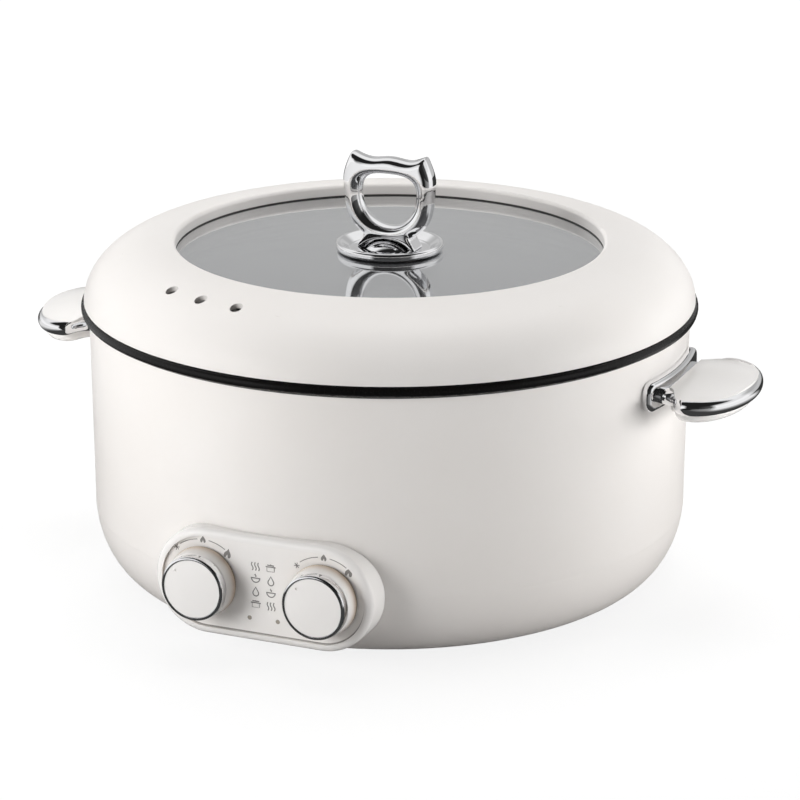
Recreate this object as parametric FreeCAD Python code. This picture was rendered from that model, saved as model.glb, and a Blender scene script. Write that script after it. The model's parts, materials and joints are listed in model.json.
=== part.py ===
"""Electric hot pot with a lift-off lid: a cream drum around a divided non-stick pan,
two heat knobs on a low front panel, chrome side handles and a glass lid in a thick ring.

Millimetres. +Z is up, -Y is the front with the knobs, +X is the right-hand side.
The origin is on the floor, under the middle of the pan.
"""
import FreeCAD, Part
import math
import os

Vector = FreeCAD.Vector
AXIS_Z = Vector(0, 0, 1)
CENTRE = Vector(0, 0, 0)

# ---------------------------------------------------------------- drum
foot_height = 4.0
under_pan_room = 54.5
base_flat_radius = 127.0
corner_reach = 28.0
corner_height = 40.0
wall_flare = 0.9
drum_wall = 2.4
base_ledge = 19.0

# ---------------------------------------------------------------- pan
pan_mouth_gap = 8.4
pan_draft = 4.5
pan_depth = 87.4
pan_wall = 2.6
pan_floor_thickness = 3.5
pan_corner_radius = 20.0
rim_overhang = 4.1
rim_height = 5.5
rim_mouth_rounding = 2.0
rim_seal_thickness = 0.9
rim_seal_lip = 0.4
divider_thickness = 3.4
divider_drop = 12.4
divider_swing = 26.0

# ---------------------------------------------------------------- under the pan
boss_count = 4
boss_radius = 6.0
boss_height = 13.5
heater_tube_radius = 3.5
heater_edge_gap = 9.7
heater_inner_radius = 60.0
heater_sweep = 62.0
heater_gap_angle = 20.0
heater_end_bend = 9.0
heater_end_length = 6.0
heater_pin_radius = 1.5
heater_pin_length = 8.0
shield_setback = 31.0
shield_thickness = 0.8
shield_rim_height = 9.8
shield_hole_gap = 2.4
fuse_size = (10.0, 16.0, 5.0)
fuse_offset = 29.0
post_radius = 5.0
base_screw_radius = 2.0
base_screw_head_radius = 3.8
base_screw_head_height = 2.6
base_screw_drive_radius = 1.4
base_plate_thickness = 2.4
base_plate_lap = 10.0
base_boss_radius = 7.0
base_boss_height = 5.4
head_recess = 0.8
slot_count = 16
slot_width = 3.0
slot_inner_radius = 30.0
slot_length = 24.0
foot_radius = 9.0
foot_setback = 13.0
foot_spigot_radius = 3.5
foot_spigot_height = 4.4
foot_rounding = 1.0
foot_count = 4
foot_first_angle = 45.0

# ---------------------------------------------------------------- control panel
panel_drop = 16.9
panel_half_length = 30.8
pod_radius = 27.6
pod_projection = 4.6
pod_rounding = 3.0
face_radius = 23.6
face_recess = 1.5
face_thickness = 1.6
face_ledge = 2.1
face_hole_gap = 1.2
pod_window_lap = 3.1
knob_spacing = 64.8
pod_post_radius = 3.5
pod_post_x = 20.0
pod_post_z = 19.5
lens_offset_x = 7.6
lens_offset_z = -15.9
lens_radius = 1.1
lens_flange_radius = 1.9
lens_flange_thickness = 0.8
led_radius = 1.3
board_size = (26.0, 10.0, 1.6)
board_setback = 4.8
board_post_radius = 1.5
board_post_x = 11.2
bracket_setback = 16.0
bracket_thickness = 1.2
bracket_half_width = 40.0
bracket_below = 17.4
bracket_above = 21.4
bracket_wing_low = 4.6
bracket_wing_high = 18.4
bracket_rounding = 2.0
regulator_size = (26.0, 19.8, 26.0)
regulator_neck_radius = 4.5
regulator_neck_length = 12.0
nut_radius = 8.0
nut_thickness = 3.0
panel_screw_radius = 1.6
panel_screw_head_radius = 3.0
panel_screw_head_height = 2.0
panel_screw_grip = 10.0

# ---------------------------------------------------------------- knobs
knob_gap = 0.6
knob_base_radius = 18.0
knob_skirt_radius = 16.9
knob_skirt_height = 9.0
knob_shell = 1.8
knob_deck = 2.0
knob_neck_radius = 14.5
knob_neck_height = 2.4
knob_hub_radius = 6.5
knob_edge_rounding = 0.4
knob_inner_rounding = 0.8
knob_ring_radius = 16.6
knob_ring_height = 4.6
knob_ring_rounding = 1.2
knob_ring_edge = 0.3
knob_cap_radius = 14.8
knob_cap_thickness = 2.4
knob_cap_crown = 0.5
knob_dot_radius = 0.7
knob_dot_depth = 0.4
knob_dot_circle = 12.2
knob_off_angle = 43.5
spindle_radius = 3.0
spindle_flat = 2.2
spindle_roof = 1.0

# ---------------------------------------------------------------- power inlet
inlet_shroud_size = (56.0, 38.0)
inlet_shroud_rounding = 8.0
inlet_shroud_edge = 2.0
inlet_projection = 16.5
inlet_flange_size = (46.0, 28.0)
inlet_flange_thickness = 2.0
inlet_flange_recess = 3.0
inlet_flange_rounding = 3.0
inlet_body_size = (30.0, 22.0)
inlet_body_depth = 22.0
inlet_body_rounding = 2.0
inlet_socket_size = (24.0, 16.0)
inlet_socket_depth = 16.0
inlet_socket_rounding = 3.0
inlet_pin_radius = 2.0
inlet_pin_pitch = 7.0
inlet_pin_drop = 3.0
inlet_pin_setback = 3.0
inlet_pin_rounding = 0.8
inlet_tab_length = 5.0
inlet_screw_x = 19.0
inlet_screw_radius = 1.5
inlet_screw_head_radius = 2.6
inlet_screw_head_height = 1.4

# ---------------------------------------------------------------- wiring
lead_radius = 1.3
lead_bend = 8.0
block_size = (40.0, 16.0, 15.0)
block_y = 50.0
lead_height = 18.0
lead_drop = 4.0
lead_run = 30.0
tab_drop = 8.0
block_well_radius = 2.2
block_well_depth = 4.0
block_well_pitch = 10.0
supply_run = 16.0
earth_run = 10.0
earth_step = 6.0
earth_drop = 9.0

# ---------------------------------------------------------------- side handles
paddle_reach = 25.0
paddle_half_width = 41.0
neck_half_width = 27.5
neck_length = 4.1
neck_flare = 15.0
neck_fullness = 0.64
paddle_drop = 22.1
paddle_thickness = 8.6
paddle_rounding = 4.2
saddle_thickness = 4.6
saddle_height = 15.4
saddle_lift = 1.3
saddle_half_angle = 13.6
saddle_corner = 5.6
saddle_rounding = 2.6
top_inlay_inset = 2.4
bottom_inlay_inset = 4.4
inlay_seat = 1.5
inlay_setback = 4.0
top_crown_peak = 7.6
top_crown_radius = 160.0
top_crown_shift = 5.0
bottom_inlay_depth = 8.3
bottom_inlay_rounding = 3.0
handle_screw_y = 22.0
handle_screw_radius = 2.0
handle_screw_head_radius = 4.0
handle_screw_head_height = 2.4
handle_screw_cover = 1.2

# ---------------------------------------------------------------- lid
lid_gap = 0.3
lid_setback = 1.5
lid_rise = 30.6
lid_ring_width = 47.7
lid_lip_rounding = 2.0
lid_power_r = 2.27
lid_power_z = 1.85
lid_shell = 2.5
glass_drop = 6.8
glass_thickness = 4.0
glass_lap = 5.7
glass_hole_gap = 0.6
glass_rounding = 1.2
seal_side = 2.0
seal_cover = 0.7
seal_under = 1.2
clip_count = 6
clip_width_angle = 12.6
clip_first_angle = 70.0
clip_height = 2.8
clip_depth = 2.0
liner_thickness = 2.0
liner_seat_lap = 0.8
liner_seat_edge = 1.0
liner_edge_rounding = 0.5
liner_bend_outer = 3.0
liner_bend_inner = 2.0
liner_step = 1.2
liner_seat_step = 1.5
liner_pad_height = 4.8
liner_spigot_gap = 0.8
liner_spigot_depth = 4.8
liner_screw_inset = 23.5
liner_screw_count = 6
liner_screw_first_angle = 30.0
liner_screw_radius = 1.5
liner_screw_head_radius = 3.0
liner_screw_head_height = 2.0
liner_screw_grip = 8.0
liner_boss_radius = 4.5
ring_boss_radius = 3.6
boss_seat_height = 10.3
vent_radius = 3.2
vent_inset = 21.6
vent_angles = (-28.7, -19.4, -9.9)

# ---------------------------------------------------------------- lid handle
disc_radius = 27.9
disc_height = 4.2
disc_floor = 1.0
disc_floor_radius = 21.0
disc_mouth_radius = 25.4
disc_rounding = 1.6
disc_mouth_rounding = 1.0
disc_floor_rounding = 1.5
dome_radius = 12.6
handle_seal_thickness = 0.5
handle_seal_radius = 23.0
grip_thickness = 12.0
grip_foot_half = 16.6
grip_waist_half = 13.0
grip_waist_rise = 5.8
grip_belly_half = 19.5
grip_belly_rise = 11.4
grip_flank_half = 23.3
grip_flank_rise = 19.0
grip_half_width = 24.5
grip_wide_rise = 29.6
grip_tip_half = 20.2
grip_tip_rise = 49.2
grip_dip_drop = 3.0
grip_dip_half = 9.3
grip_hump = 1.0
grip_rounding = 4.2
arch_half_width = 13.6
arch_rise = 5.1
arch_gap = 0.3
hole_half_width = 15.3
hole_bottom = 11.6
hole_middle = 28.0
hole_top = 38.6
hole_power_above = 0.70
hole_power_below = 0.96
hole_steps = 24
hole_spread = 4.2
hole_spread_above = 2.0
hole_spread_below = 2.8
hole_spread_power = 2.3
lid_screw_radius = 2.5
lid_screw_head_radius = 5.0
lid_screw_head_height = 2.7
lid_screw_head_rounding = 0.8
lid_screw_slot_width = 1.4
lid_screw_slot_length = 7.0
lid_screw_grip = 4.4
lid_washer_radius = 9.0
lid_washer_thickness = 1.0
washer_seal_margin = 0.5

# ---------------------------------------------------------------- clearances and cutters
seam = 0.2
running = 0.05
fit = 0.1
run_past = 1.0

# ---------------------------------------------------------------- heights and radii that follow
drum_base = foot_height
pan_underside = drum_base + under_pan_room
pan_floor = pan_underside + pan_floor_thickness
rim_top = pan_floor + pan_depth
rim_bottom = rim_top - rim_height
drum_top = rim_bottom - rim_seal_thickness
corner_top = drum_base + corner_height
wall_radius = base_flat_radius + corner_reach
drum_top_radius = wall_radius + wall_flare
base_opening_radius = base_flat_radius - base_ledge
foot_circle_radius = base_opening_radius - foot_setback
rim_radius = drum_top_radius + rim_overhang
pan_mouth_radius = drum_top_radius - pan_mouth_gap
pan_floor_radius = pan_mouth_radius - pan_draft
shield_radius = pan_floor_radius - shield_setback
shield_top = pan_underside - boss_height
shield_bottom = shield_top - shield_thickness
base_inside = drum_base + base_plate_thickness
base_boss_top = drum_base + base_boss_height
heater_level = pan_underside - heater_tube_radius
heater_outer_radius = shield_radius - shield_thickness - heater_edge_gap - heater_tube_radius
boss_circle_radius = (heater_outer_radius + heater_inner_radius) / 2
heater_pin_bottom = heater_level - heater_end_bend - heater_end_length - heater_pin_length
panel_height = pan_underside - panel_drop
pod_front = wall_radius + pod_projection
face_front = pod_front - face_recess
face_back = face_front - face_thickness
bracket_front = face_front - bracket_setback
bracket_back = bracket_front - bracket_thickness
board_front = face_back - board_setback
board_back = board_front - board_size[2]
pod_window_radius = pod_radius - pod_window_lap
inlet_shroud_back = wall_radius + inlet_projection
inlet_flange_back = inlet_shroud_back - inlet_flange_recess
inlet_front = inlet_flange_back + inlet_flange_thickness
neck_start = drum_top_radius + neck_length
paddle_centre = neck_start + neck_flare
paddle_height = drum_top - paddle_drop
saddle_middle = paddle_height + saddle_lift
saddle_radius = drum_top_radius + saddle_thickness
lid_bottom = rim_top + lid_gap
lid_outer_radius = rim_radius - lid_setback
lid_opening_radius = lid_outer_radius - lid_ring_width
lid_crest_radius = lid_opening_radius + lid_lip_rounding
liner_spigot_radius = pan_mouth_radius - liner_spigot_gap
liner_screw_circle = lid_outer_radius - liner_screw_inset
vent_circle = lid_outer_radius - vent_inset
glass_top = lid_bottom + lid_rise - glass_drop
glass_bottom = glass_top - glass_thickness
glass_radius = lid_opening_radius + glass_lap
seal_top = glass_top + seal_cover
seal_bottom = glass_bottom - seal_under
seal_radius = glass_radius + seal_side
disc_bottom = glass_top + handle_seal_thickness
grip_bottom = disc_bottom + disc_floor
arch_top = grip_bottom + arch_rise


# ---------------------------------------------------------------- drawing helpers
def at(x, z):
    """A point of the XZ plane."""
    return Vector(x, 0, z)


def straight(start, end):
    return Part.LineSegment(start, end).toShape()


def corner_points(before, corner, after, radius):
    """Start, middle and end of the arc that rounds one corner."""
    towards = (before - corner).normalize()
    onwards = (after - corner).normalize()
    half_angle = towards.getAngle(onwards) / 2
    reach = radius / math.tan(half_angle)
    bisector = (towards + onwards).normalize()
    depth = radius / math.sin(half_angle) - radius
    return corner + towards * reach, corner + bisector * depth, corner + onwards * reach


def outline(corners, closed=True):
    """Edges along a run of corners; each corner is x, z and its rounding."""
    points = [at(x, z) for x, z, radius in corners]
    count = len(corners)
    bends = []
    for i in range(count):
        radius = corners[i][2]
        if radius > 0:
            bends.append(corner_points(points[i - 1], points[i], points[(i + 1) % count], radius))
        else:
            bends.append((points[i], None, points[i]))
    edges = []
    for i in range(count):
        start, middle, end = bends[i]
        if middle is not None:
            edges.append(Part.Arc(start, middle, end).toShape())
        following = bends[(i + 1) % count][0]
        goes_on = closed or i < count - 1
        if goes_on and end.distanceToPoint(following) > 1e-6:
            edges.append(straight(end, following))
    return edges


def face_of(edges):
    return Part.Face(Part.Wire(Part.__sortEdges__(edges)))


def turned(edges, angle=360):
    """The solid swept by a profile as it turns about the pot's axis."""
    return face_of(edges).revolve(CENTRE, AXIS_Z, angle)


def smooth(points, first=None, last=None):
    """One smooth curve through points, with its end directions where they are given."""
    curve = Part.BSplineCurve()
    if first is None:
        curve.interpolate(Points=points)
    else:
        curve.interpolate(Points=points, InitialTangent=first, FinalTangent=last)
    return curve.toShape()


def swell(centre_r, centre_z, reach_r, reach_z, power_r=2.0, power_z=2.0, steps=16):
    """A quarter curve from straight above (or below) a centre to straight beside it."""
    points = []
    for step in range(steps + 1):
        angle = math.pi / 2 * step / steps
        out = reach_r * math.sin(angle) ** (2 / power_r)
        rise = reach_z * abs(math.cos(angle)) ** (2 / power_z)
        points.append(at(centre_r + out, centre_z + rise))
    return smooth(points, Vector(1, 0, 0), Vector(0, 0, -math.copysign(1, reach_z)))


def rod(radius, low, high, x=0.0, y=0.0):
    """An upright cylinder from one height to another."""
    return Part.makeCylinder(radius, high - low, Vector(x, y, low))


def rod_y(radius, start, end, x, z):
    """A cylinder along Y."""
    return Part.makeCylinder(radius, end - start, Vector(x, start, z), Vector(0, 1, 0))


def rod_x(radius, start, end, y, z):
    """A cylinder along X."""
    return Part.makeCylinder(radius, end - start, Vector(start, y, z), Vector(1, 0, 0))


def block(x, y, z, size):
    """A box by its middle in X and Y and its lowest Z."""
    return Part.makeBox(size[0], size[1], size[2], Vector(x - size[0] / 2, y - size[1] / 2, z))


def stadium(half_length, radius, start, end, x=0.0, z=0.0):
    """A bar along Y with a section of two half circles and two straights."""
    reach = half_length + radius
    edges = outline([
        (x - reach, z - radius, radius),
        (x + reach, z - radius, radius),
        (x + reach, z + radius, radius),
        (x - reach, z + radius, radius),
    ])
    bar = face_of(edges).extrude(Vector(0, end - start, 0))
    bar.translate(Vector(0, start, 0))
    return bar


def rounded_bar(width, height, rounding, start, end, z):
    """A bar along Y with a rounded rectangular section."""
    edges = outline([
        (-width / 2, z - height / 2, rounding),
        (width / 2, z - height / 2, rounding),
        (width / 2, z + height / 2, rounding),
        (-width / 2, z + height / 2, rounding),
    ])
    bar = face_of(edges).extrude(Vector(0, end - start, 0))
    bar.translate(Vector(0, start, 0))
    return bar


def around(count, radius, first=0.0):
    """Places spaced evenly round the pot's axis."""
    places = []
    for i in range(count):
        angle = math.radians(first + 360 / count * i)
        places.append((radius * math.cos(angle), radius * math.sin(angle)))
    return places


def joined(solids):
    """One solid made of overlapping solids."""
    return solids[0].multiFuse(solids[1:]).removeSplitter()


def rounded_where(shape, radius, wanted):
    """The shape with a fillet on each edge that passes a test of its bounding box."""
    edges = [edge for edge in shape.Edges if wanted(edge.BoundBox)]
    return shape.makeFillet(radius, edges)


def mirrored(shape):
    """The same piece for the other side of the pot."""
    return shape.mirror(CENTRE, Vector(1, 0, 0))


def lead(points):
    """An insulated wire through points, with every corner bent to an arc."""
    edges = []
    start = points[0]
    for i in range(1, len(points) - 1):
        bend_start, middle, bend_end = corner_points(points[i - 1], points[i], points[i + 1], lead_bend)
        edges.append(straight(start, bend_start))
        edges.append(Part.Arc(bend_start, middle, bend_end).toShape())
        start = bend_end
    edges.append(straight(start, points[-1]))
    heading = (points[1] - points[0]).normalize()
    section = Part.Wire(Part.Circle(points[0], heading, lead_radius).toShape())
    return Part.Wire(edges).makePipeShell([section], True, True)


# ---------------------------------------------------------------- drum
def drum_profile(inset):
    """The drum's outer line from the base flat to the top edge, set in by a distance."""
    corner = swell(
        base_flat_radius, corner_top,
        corner_reach - inset, -(corner_height - inset),
    )
    side = straight(at(wall_radius - inset, corner_top), at(drum_top_radius - inset, drum_top))
    return [corner, side]


def drum_radius(height):
    """The drum's outer radius at a height, above its rounded corner."""
    return wall_radius + wall_flare * (height - corner_top) / (drum_top - corner_top)


def drum_core(growth):
    """The drum as a full solid, for cutting what stands on it."""
    foot = drum_base - growth
    return turned(drum_profile(-growth) + [
        straight(at(0, foot), at(base_flat_radius, foot)),
        straight(at(drum_top_radius + growth, drum_top), at(0, drum_top)),
        straight(at(0, drum_top), at(0, foot)),
    ])


def outer_housing():
    inner_foot = drum_base + drum_wall
    shell = turned(drum_profile(0) + drum_profile(drum_wall) + [
        straight(at(base_opening_radius, drum_base), at(base_flat_radius, drum_base)),
        straight(at(base_opening_radius, inner_foot), at(base_flat_radius, inner_foot)),
        straight(at(base_opening_radius, drum_base), at(base_opening_radius, inner_foot)),
        straight(at(drum_top_radius - drum_wall, drum_top), at(drum_top_radius, drum_top)),
    ])
    outside = drum_top_radius + run_past
    front_window = stadium(panel_half_length, pod_window_radius, -outside, -panel_window_depth(),
                           z=panel_height)
    rear_window = rounded_bar(
        inlet_body_size[0] + 2 * fit, inlet_body_size[1] + 2 * fit, inlet_body_rounding + fit,
        panel_window_depth(), outside, panel_height,
    )
    shell = shell.cut(front_window).cut(rear_window)
    for y in (-handle_screw_y, handle_screw_y):
        shell = shell.cut(rod_x(handle_screw_radius + fit, -outside, outside, y, saddle_middle))
    for x in (-inlet_screw_x, inlet_screw_x):
        shell = shell.cut(rod_y(inlet_screw_radius, 0, outside, x, panel_height))
    return shell


def panel_window_depth():
    """How near the axis the two window cutters start: well inside the wall's thickness."""
    return wall_radius - corner_reach


def base_plate():
    rim = base_opening_radius - fit
    lap_bottom = drum_base + drum_wall
    plate = turned(outline([
        (0, drum_base, 0),
        (rim, drum_base, 0),
        (rim, lap_bottom, 0),
        (rim + base_plate_lap, lap_bottom, 0),
        (rim + base_plate_lap, lap_bottom + base_plate_thickness, 0),
        (rim - drum_wall, lap_bottom + base_plate_thickness, 0),
        (rim - drum_wall, base_inside, 0),
        (0, base_inside, 0),
    ]))
    places = around(boss_count, boss_circle_radius)
    plate = joined([plate] + [rod(base_boss_radius, drum_base, base_boss_top, x, y) for x, y in places])
    recess_top = drum_base + head_recess + base_screw_head_height
    holes = []
    for x, y in places:
        holes.append(rod(base_screw_head_radius + fit, drum_base, recess_top, x, y))
        holes.append(rod(base_screw_radius + fit, drum_base, base_boss_top, x, y))
    for x, y in around(foot_count, foot_circle_radius, foot_first_angle):
        holes.append(rod(foot_spigot_radius + running, drum_base, base_boss_top, x, y))
    slot = Part.makeBox(slot_length, slot_width, base_boss_height,
                        Vector(slot_inner_radius, -slot_width / 2, drum_base))
    for i in range(slot_count):
        holes.append(slot.rotated(CENTRE, AXIS_Z, 360 / slot_count * (i + 0.5)))
    return plate.cut(holes)


def feet():
    pads = []
    for x, y in around(foot_count, foot_circle_radius, foot_first_angle):
        pad = rod(foot_radius, 0, foot_height, x, y)
        pad = rounded_where(pad, foot_rounding, lambda box: box.ZMax < 0.01)
        spigot = rod(foot_spigot_radius, foot_height, foot_height + foot_spigot_height, x, y)
        pads.append(joined([pad, spigot]))
    return Part.makeCompound(pads)


def base_posts():
    posts = []
    for x, y in around(boss_count, boss_circle_radius):
        tube = rod(post_radius, base_boss_top, shield_bottom, x, y)
        posts.append(tube.cut(rod(base_screw_radius + fit, base_boss_top, shield_bottom, x, y)))
    return Part.makeCompound(posts)


def base_screws():
    head_bottom = drum_base + head_recess
    head_top = head_bottom + base_screw_head_height
    screws = []
    for x, y in around(boss_count, boss_circle_radius):
        head = rod(base_screw_head_radius, head_bottom, head_top, x, y)
        drive_top = head_bottom + base_screw_head_height / 2
        drive = rod(base_screw_drive_radius, head_bottom, drive_top, x, y)
        shank = rod(base_screw_radius, head_top, pan_underside - pan_floor_thickness, x, y)
        screws.append(joined([head, shank]).cut(drive))
    return Part.makeCompound(screws)


# ---------------------------------------------------------------- pan
def pan_radius(height):
    """The pan's inner radius at a height, above its rounded corner."""
    return pan_floor_radius + pan_draft * (height - pan_floor) / pan_depth


def pan():
    bowl = turned(outline([
        (0, pan_floor, 0),
        (pan_floor_radius, pan_floor, pan_corner_radius),
        (pan_mouth_radius, rim_top, rim_mouth_rounding),
        (rim_radius, rim_top, rim_height / 2 - running),
        (rim_radius, rim_bottom, rim_height / 2 - running),
        (pan_radius(rim_bottom) + pan_wall, rim_bottom, 0),
        (pan_floor_radius + pan_wall, pan_underside, pan_corner_radius + pan_wall),
        (0, pan_underside, 0),
    ]))
    places = around(boss_count, boss_circle_radius)
    bowl = joined([bowl] + [rod(boss_radius, shield_top, pan_underside, x, y) for x, y in places])
    bores = [rod(base_screw_radius + running, shield_top, pan_underside - pan_floor_thickness + fit, x, y)
             for x, y in places]
    return bowl.cut(bores)


def divider_half(side):
    """Half of the S-shaped wall in plan, as four edges: an arc, its offset and two ends."""
    chord = pan_mouth_radius
    radius = (chord * chord / 4 + divider_swing * divider_swing) / (2 * divider_swing)
    centre = Vector(-side * (radius - divider_swing), -side * chord / 2, 0)
    inwards = (CENTRE - centre).normalize()
    outwards = Vector(-side * chord / 8, -side * chord * 1.02, 0) - centre
    outwards.normalize()
    middle = (inwards + outwards).normalize()
    near = radius - divider_thickness / 2
    far = radius + divider_thickness / 2
    return [
        Part.Arc(centre + inwards * near, centre + middle * near, centre + outwards * near).toShape(),
        Part.Arc(centre + inwards * far, centre + middle * far, centre + outwards * far).toShape(),
        straight(centre + outwards * near, centre + outwards * far),
        straight(centre + inwards * near, centre + inwards * far),
    ]


def pan_divider():
    top = rim_top - divider_drop
    wall = joined([
        face_of(divider_half(side)).extrude(Vector(0, 0, top - pan_floor)) for side in (1, -1)
    ])
    wall.translate(Vector(0, 0, pan_floor))
    room = turned(outline([
        (0, pan_floor, 0),
        (pan_floor_radius, pan_floor, pan_corner_radius),
        (pan_radius(top), top, 0),
        (0, top, 0),
    ]))
    return wall.common(room)


def rim_seal():
    inner = drum_top_radius - drum_wall
    outer = drum_top_radius + rim_seal_lip
    return rod(outer, drum_top, rim_bottom).cut(rod(inner, drum_top, rim_bottom))


# ---------------------------------------------------------------- heating
def polar(radius, angle, height):
    turn = math.radians(angle)
    return Vector(radius * math.cos(turn), radius * math.sin(turn), height)


def arc_between(radius, first, last, height):
    """An arc about the pot's axis."""
    return Part.Arc(polar(radius, first, height), polar(radius, (first + last) / 2, height),
                    polar(radius, last, height)).toShape()


def heater_end(sign):
    """The bend from the inner arc to straight down, and the straight end."""
    start = polar(heater_inner_radius, sign * heater_gap_angle, heater_level)
    along = polar(1, sign * (heater_gap_angle - 90), 0)
    centre = start - AXIS_Z * heater_end_bend
    middle = centre + (along + AXIS_Z).normalize() * heater_end_bend
    end = centre + along * heater_end_bend
    bottom = end - AXIS_Z * heater_end_length
    return [Part.Arc(start, middle, end).toShape(), straight(end, bottom)], bottom


def return_bend(sign):
    """The half turn that joins the outer and inner arcs."""
    reach = (heater_outer_radius - heater_inner_radius) / 2
    centre = polar(heater_inner_radius + reach, sign * heater_sweep, heater_level)
    middle = centre + polar(reach, sign * (heater_sweep + 90), 0)
    return Part.Arc(polar(heater_inner_radius, sign * heater_sweep, heater_level), middle,
                    polar(heater_outer_radius, sign * heater_sweep, heater_level)).toShape()


def right_heater():
    """A tubular element in a horseshoe, with both ends turned down to their pins."""
    first_end, first_bottom = heater_end(1)
    last_end, last_bottom = heater_end(-1)
    path = [edge for edge in reversed(first_end)]
    path.append(arc_between(heater_inner_radius, heater_gap_angle, heater_sweep, heater_level))
    path.append(return_bend(1))
    path.append(arc_between(heater_outer_radius, heater_sweep, -heater_sweep, heater_level))
    path.append(return_bend(-1))
    path.append(arc_between(heater_inner_radius, -heater_sweep, -heater_gap_angle, heater_level))
    path.extend(last_end)
    section = Part.Wire(Part.Circle(first_bottom, AXIS_Z, heater_tube_radius).toShape())
    tube = Part.Wire(path).makePipeShell([section], True, True)
    pins = [rod(heater_pin_radius, heater_pin_bottom, end.z, end.x, end.y)
            for end in (first_bottom, last_bottom)]
    return joined([tube] + pins)


def heat_shield():
    dish = turned(outline([
        (0, shield_bottom, 0),
        (shield_radius, shield_bottom, 0),
        (shield_radius, shield_top + shield_rim_height, 0),
        (shield_radius - shield_thickness, shield_top + shield_rim_height, 0),
        (shield_radius - shield_thickness, shield_top, 0),
        (0, shield_top, 0),
    ]))
    holes = []
    for x, y in around(boss_count, boss_circle_radius):
        holes.append(rod(base_screw_radius + fit, shield_bottom, shield_top, x, y))
    for sign in (-1, 1):
        end = heater_end(sign)[1]
        for side in (-1, 1):
            holes.append(rod(heater_tube_radius + shield_hole_gap, shield_bottom, shield_top,
                             side * end.x, end.y))
    return dish.cut(holes)


def thermal_fuses():
    low = pan_underside - fuse_size[2]
    return Part.makeCompound([block(side * fuse_offset, 0, low, fuse_size) for side in (-1, 1)])


# ---------------------------------------------------------------- control panel
def pod_posts(growth, start, end):
    """Cylinders on the four fixing points of the panel."""
    rods = []
    for x in (-pod_post_x, pod_post_x):
        for z in (-pod_post_z, pod_post_z):
            rods.append(rod_y(growth, start, end, x, panel_height + z))
    return rods


def control_pod():
    back = -panel_window_depth()
    shell = stadium(panel_half_length, pod_radius, -pod_front, back, z=panel_height)
    shell = rounded_where(shell, pod_rounding, lambda box: box.YMax < -pod_front + 0.01)
    shell = shell.cut(drum_core(seam))
    shell = shell.cut(stadium(panel_half_length, face_radius - face_ledge, -pod_front, back, z=panel_height))
    shell = shell.cut(stadium(panel_half_length, face_radius + running, -pod_front, -face_back,
                              z=panel_height))
    shell = joined([shell] + pod_posts(pod_post_radius, -face_back, -bracket_front))
    bore_end = -bracket_front
    return shell.cut(pod_posts(panel_screw_radius, bore_end - panel_screw_grip - fit, bore_end))


def knob_places():
    return (-knob_spacing / 2, knob_spacing / 2)


def control_face():
    plate = stadium(panel_half_length, face_radius, -face_front, -face_back, z=panel_height)
    low = panel_height + lens_offset_z
    posts = [rod_y(board_post_radius, -face_back, -board_front, x, low)
             for x in (-board_post_x, board_post_x)]
    plate = joined([plate] + posts)
    holes = [rod_y(spindle_radius + face_hole_gap, -face_front, -face_back, x, panel_height)
             for x in knob_places()]
    for x in (-lens_offset_x, lens_offset_x):
        holes.append(rod_y(lens_radius + running, -face_front, -face_back, x, low))
    return plate.cut(holes)


def indicator_lenses():
    low = panel_height + lens_offset_z
    lenses = []
    for x in (-lens_offset_x, lens_offset_x):
        stem = rod_y(lens_radius, -face_front, -face_back, x, low)
        flange = rod_y(lens_flange_radius, -face_back, -face_back + lens_flange_thickness, x, low)
        lenses.append(joined([stem, flange]))
    return Part.makeCompound(lenses)


def indicator_board():
    low = panel_height + lens_offset_z - board_size[1] / 2
    board = Part.makeBox(board_size[0], board_size[2], board_size[1],
                         Vector(-board_size[0] / 2, -board_front, low))
    lamps = [rod_y(led_radius, -face_back + lens_flange_thickness + fit, -board_front, x,
                   panel_height + lens_offset_z) for x in (-lens_offset_x, lens_offset_x)]
    return joined([board] + lamps)


def control_bracket():
    low = panel_height - bracket_below
    high = panel_height + bracket_above
    wing_low = panel_height + bracket_wing_low
    wing_high = panel_height + bracket_wing_high
    reach = math.sqrt((wall_radius - drum_wall) ** 2 - bracket_front ** 2) - fit
    edges = outline([
        (-bracket_half_width, low, bracket_rounding),
        (bracket_half_width, low, bracket_rounding),
        (bracket_half_width, wing_low, 0),
        (reach, wing_low, 0),
        (reach, wing_high, 0),
        (bracket_half_width, wing_high, 0),
        (bracket_half_width, high, bracket_rounding),
        (-bracket_half_width, high, bracket_rounding),
        (-bracket_half_width, wing_high, 0),
        (-reach, wing_high, 0),
        (-reach, wing_low, 0),
        (-bracket_half_width, wing_low, 0),
    ])
    plate = face_of(edges).extrude(Vector(0, bracket_thickness, 0))
    plate.translate(Vector(0, -bracket_front, 0))
    holes = pod_posts(panel_screw_radius + fit, -bracket_front, -bracket_back)
    for x in knob_places():
        holes.append(rod_y(regulator_neck_radius + fit, -bracket_front, -bracket_back, x, panel_height))
    return plate.cut(holes)


def bracket_screws():
    start = -bracket_front - panel_screw_grip
    screws = []
    shanks = pod_posts(panel_screw_radius - running, start, -bracket_back)
    heads = pod_posts(panel_screw_head_radius, -bracket_back, -bracket_back + panel_screw_head_height)
    for shank, head in zip(shanks, heads):
        screws.append(joined([shank, head]))
    return Part.makeCompound(screws)


def regulator(x):
    """The adjustable thermostat behind one knob, with the threaded neck of its spindle."""
    width, depth, height = regulator_size
    body = Part.makeBox(width, depth, height,
                        Vector(x - width / 2, -bracket_back, panel_height - height / 2))
    neck_front = -bracket_back - regulator_neck_length
    neck = rod_y(regulator_neck_radius, neck_front, -bracket_back, x, panel_height)
    bore = rod_y(spindle_radius + running, neck_front, -bracket_back, x, panel_height)
    return joined([body, neck]).cut(bore)


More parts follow.
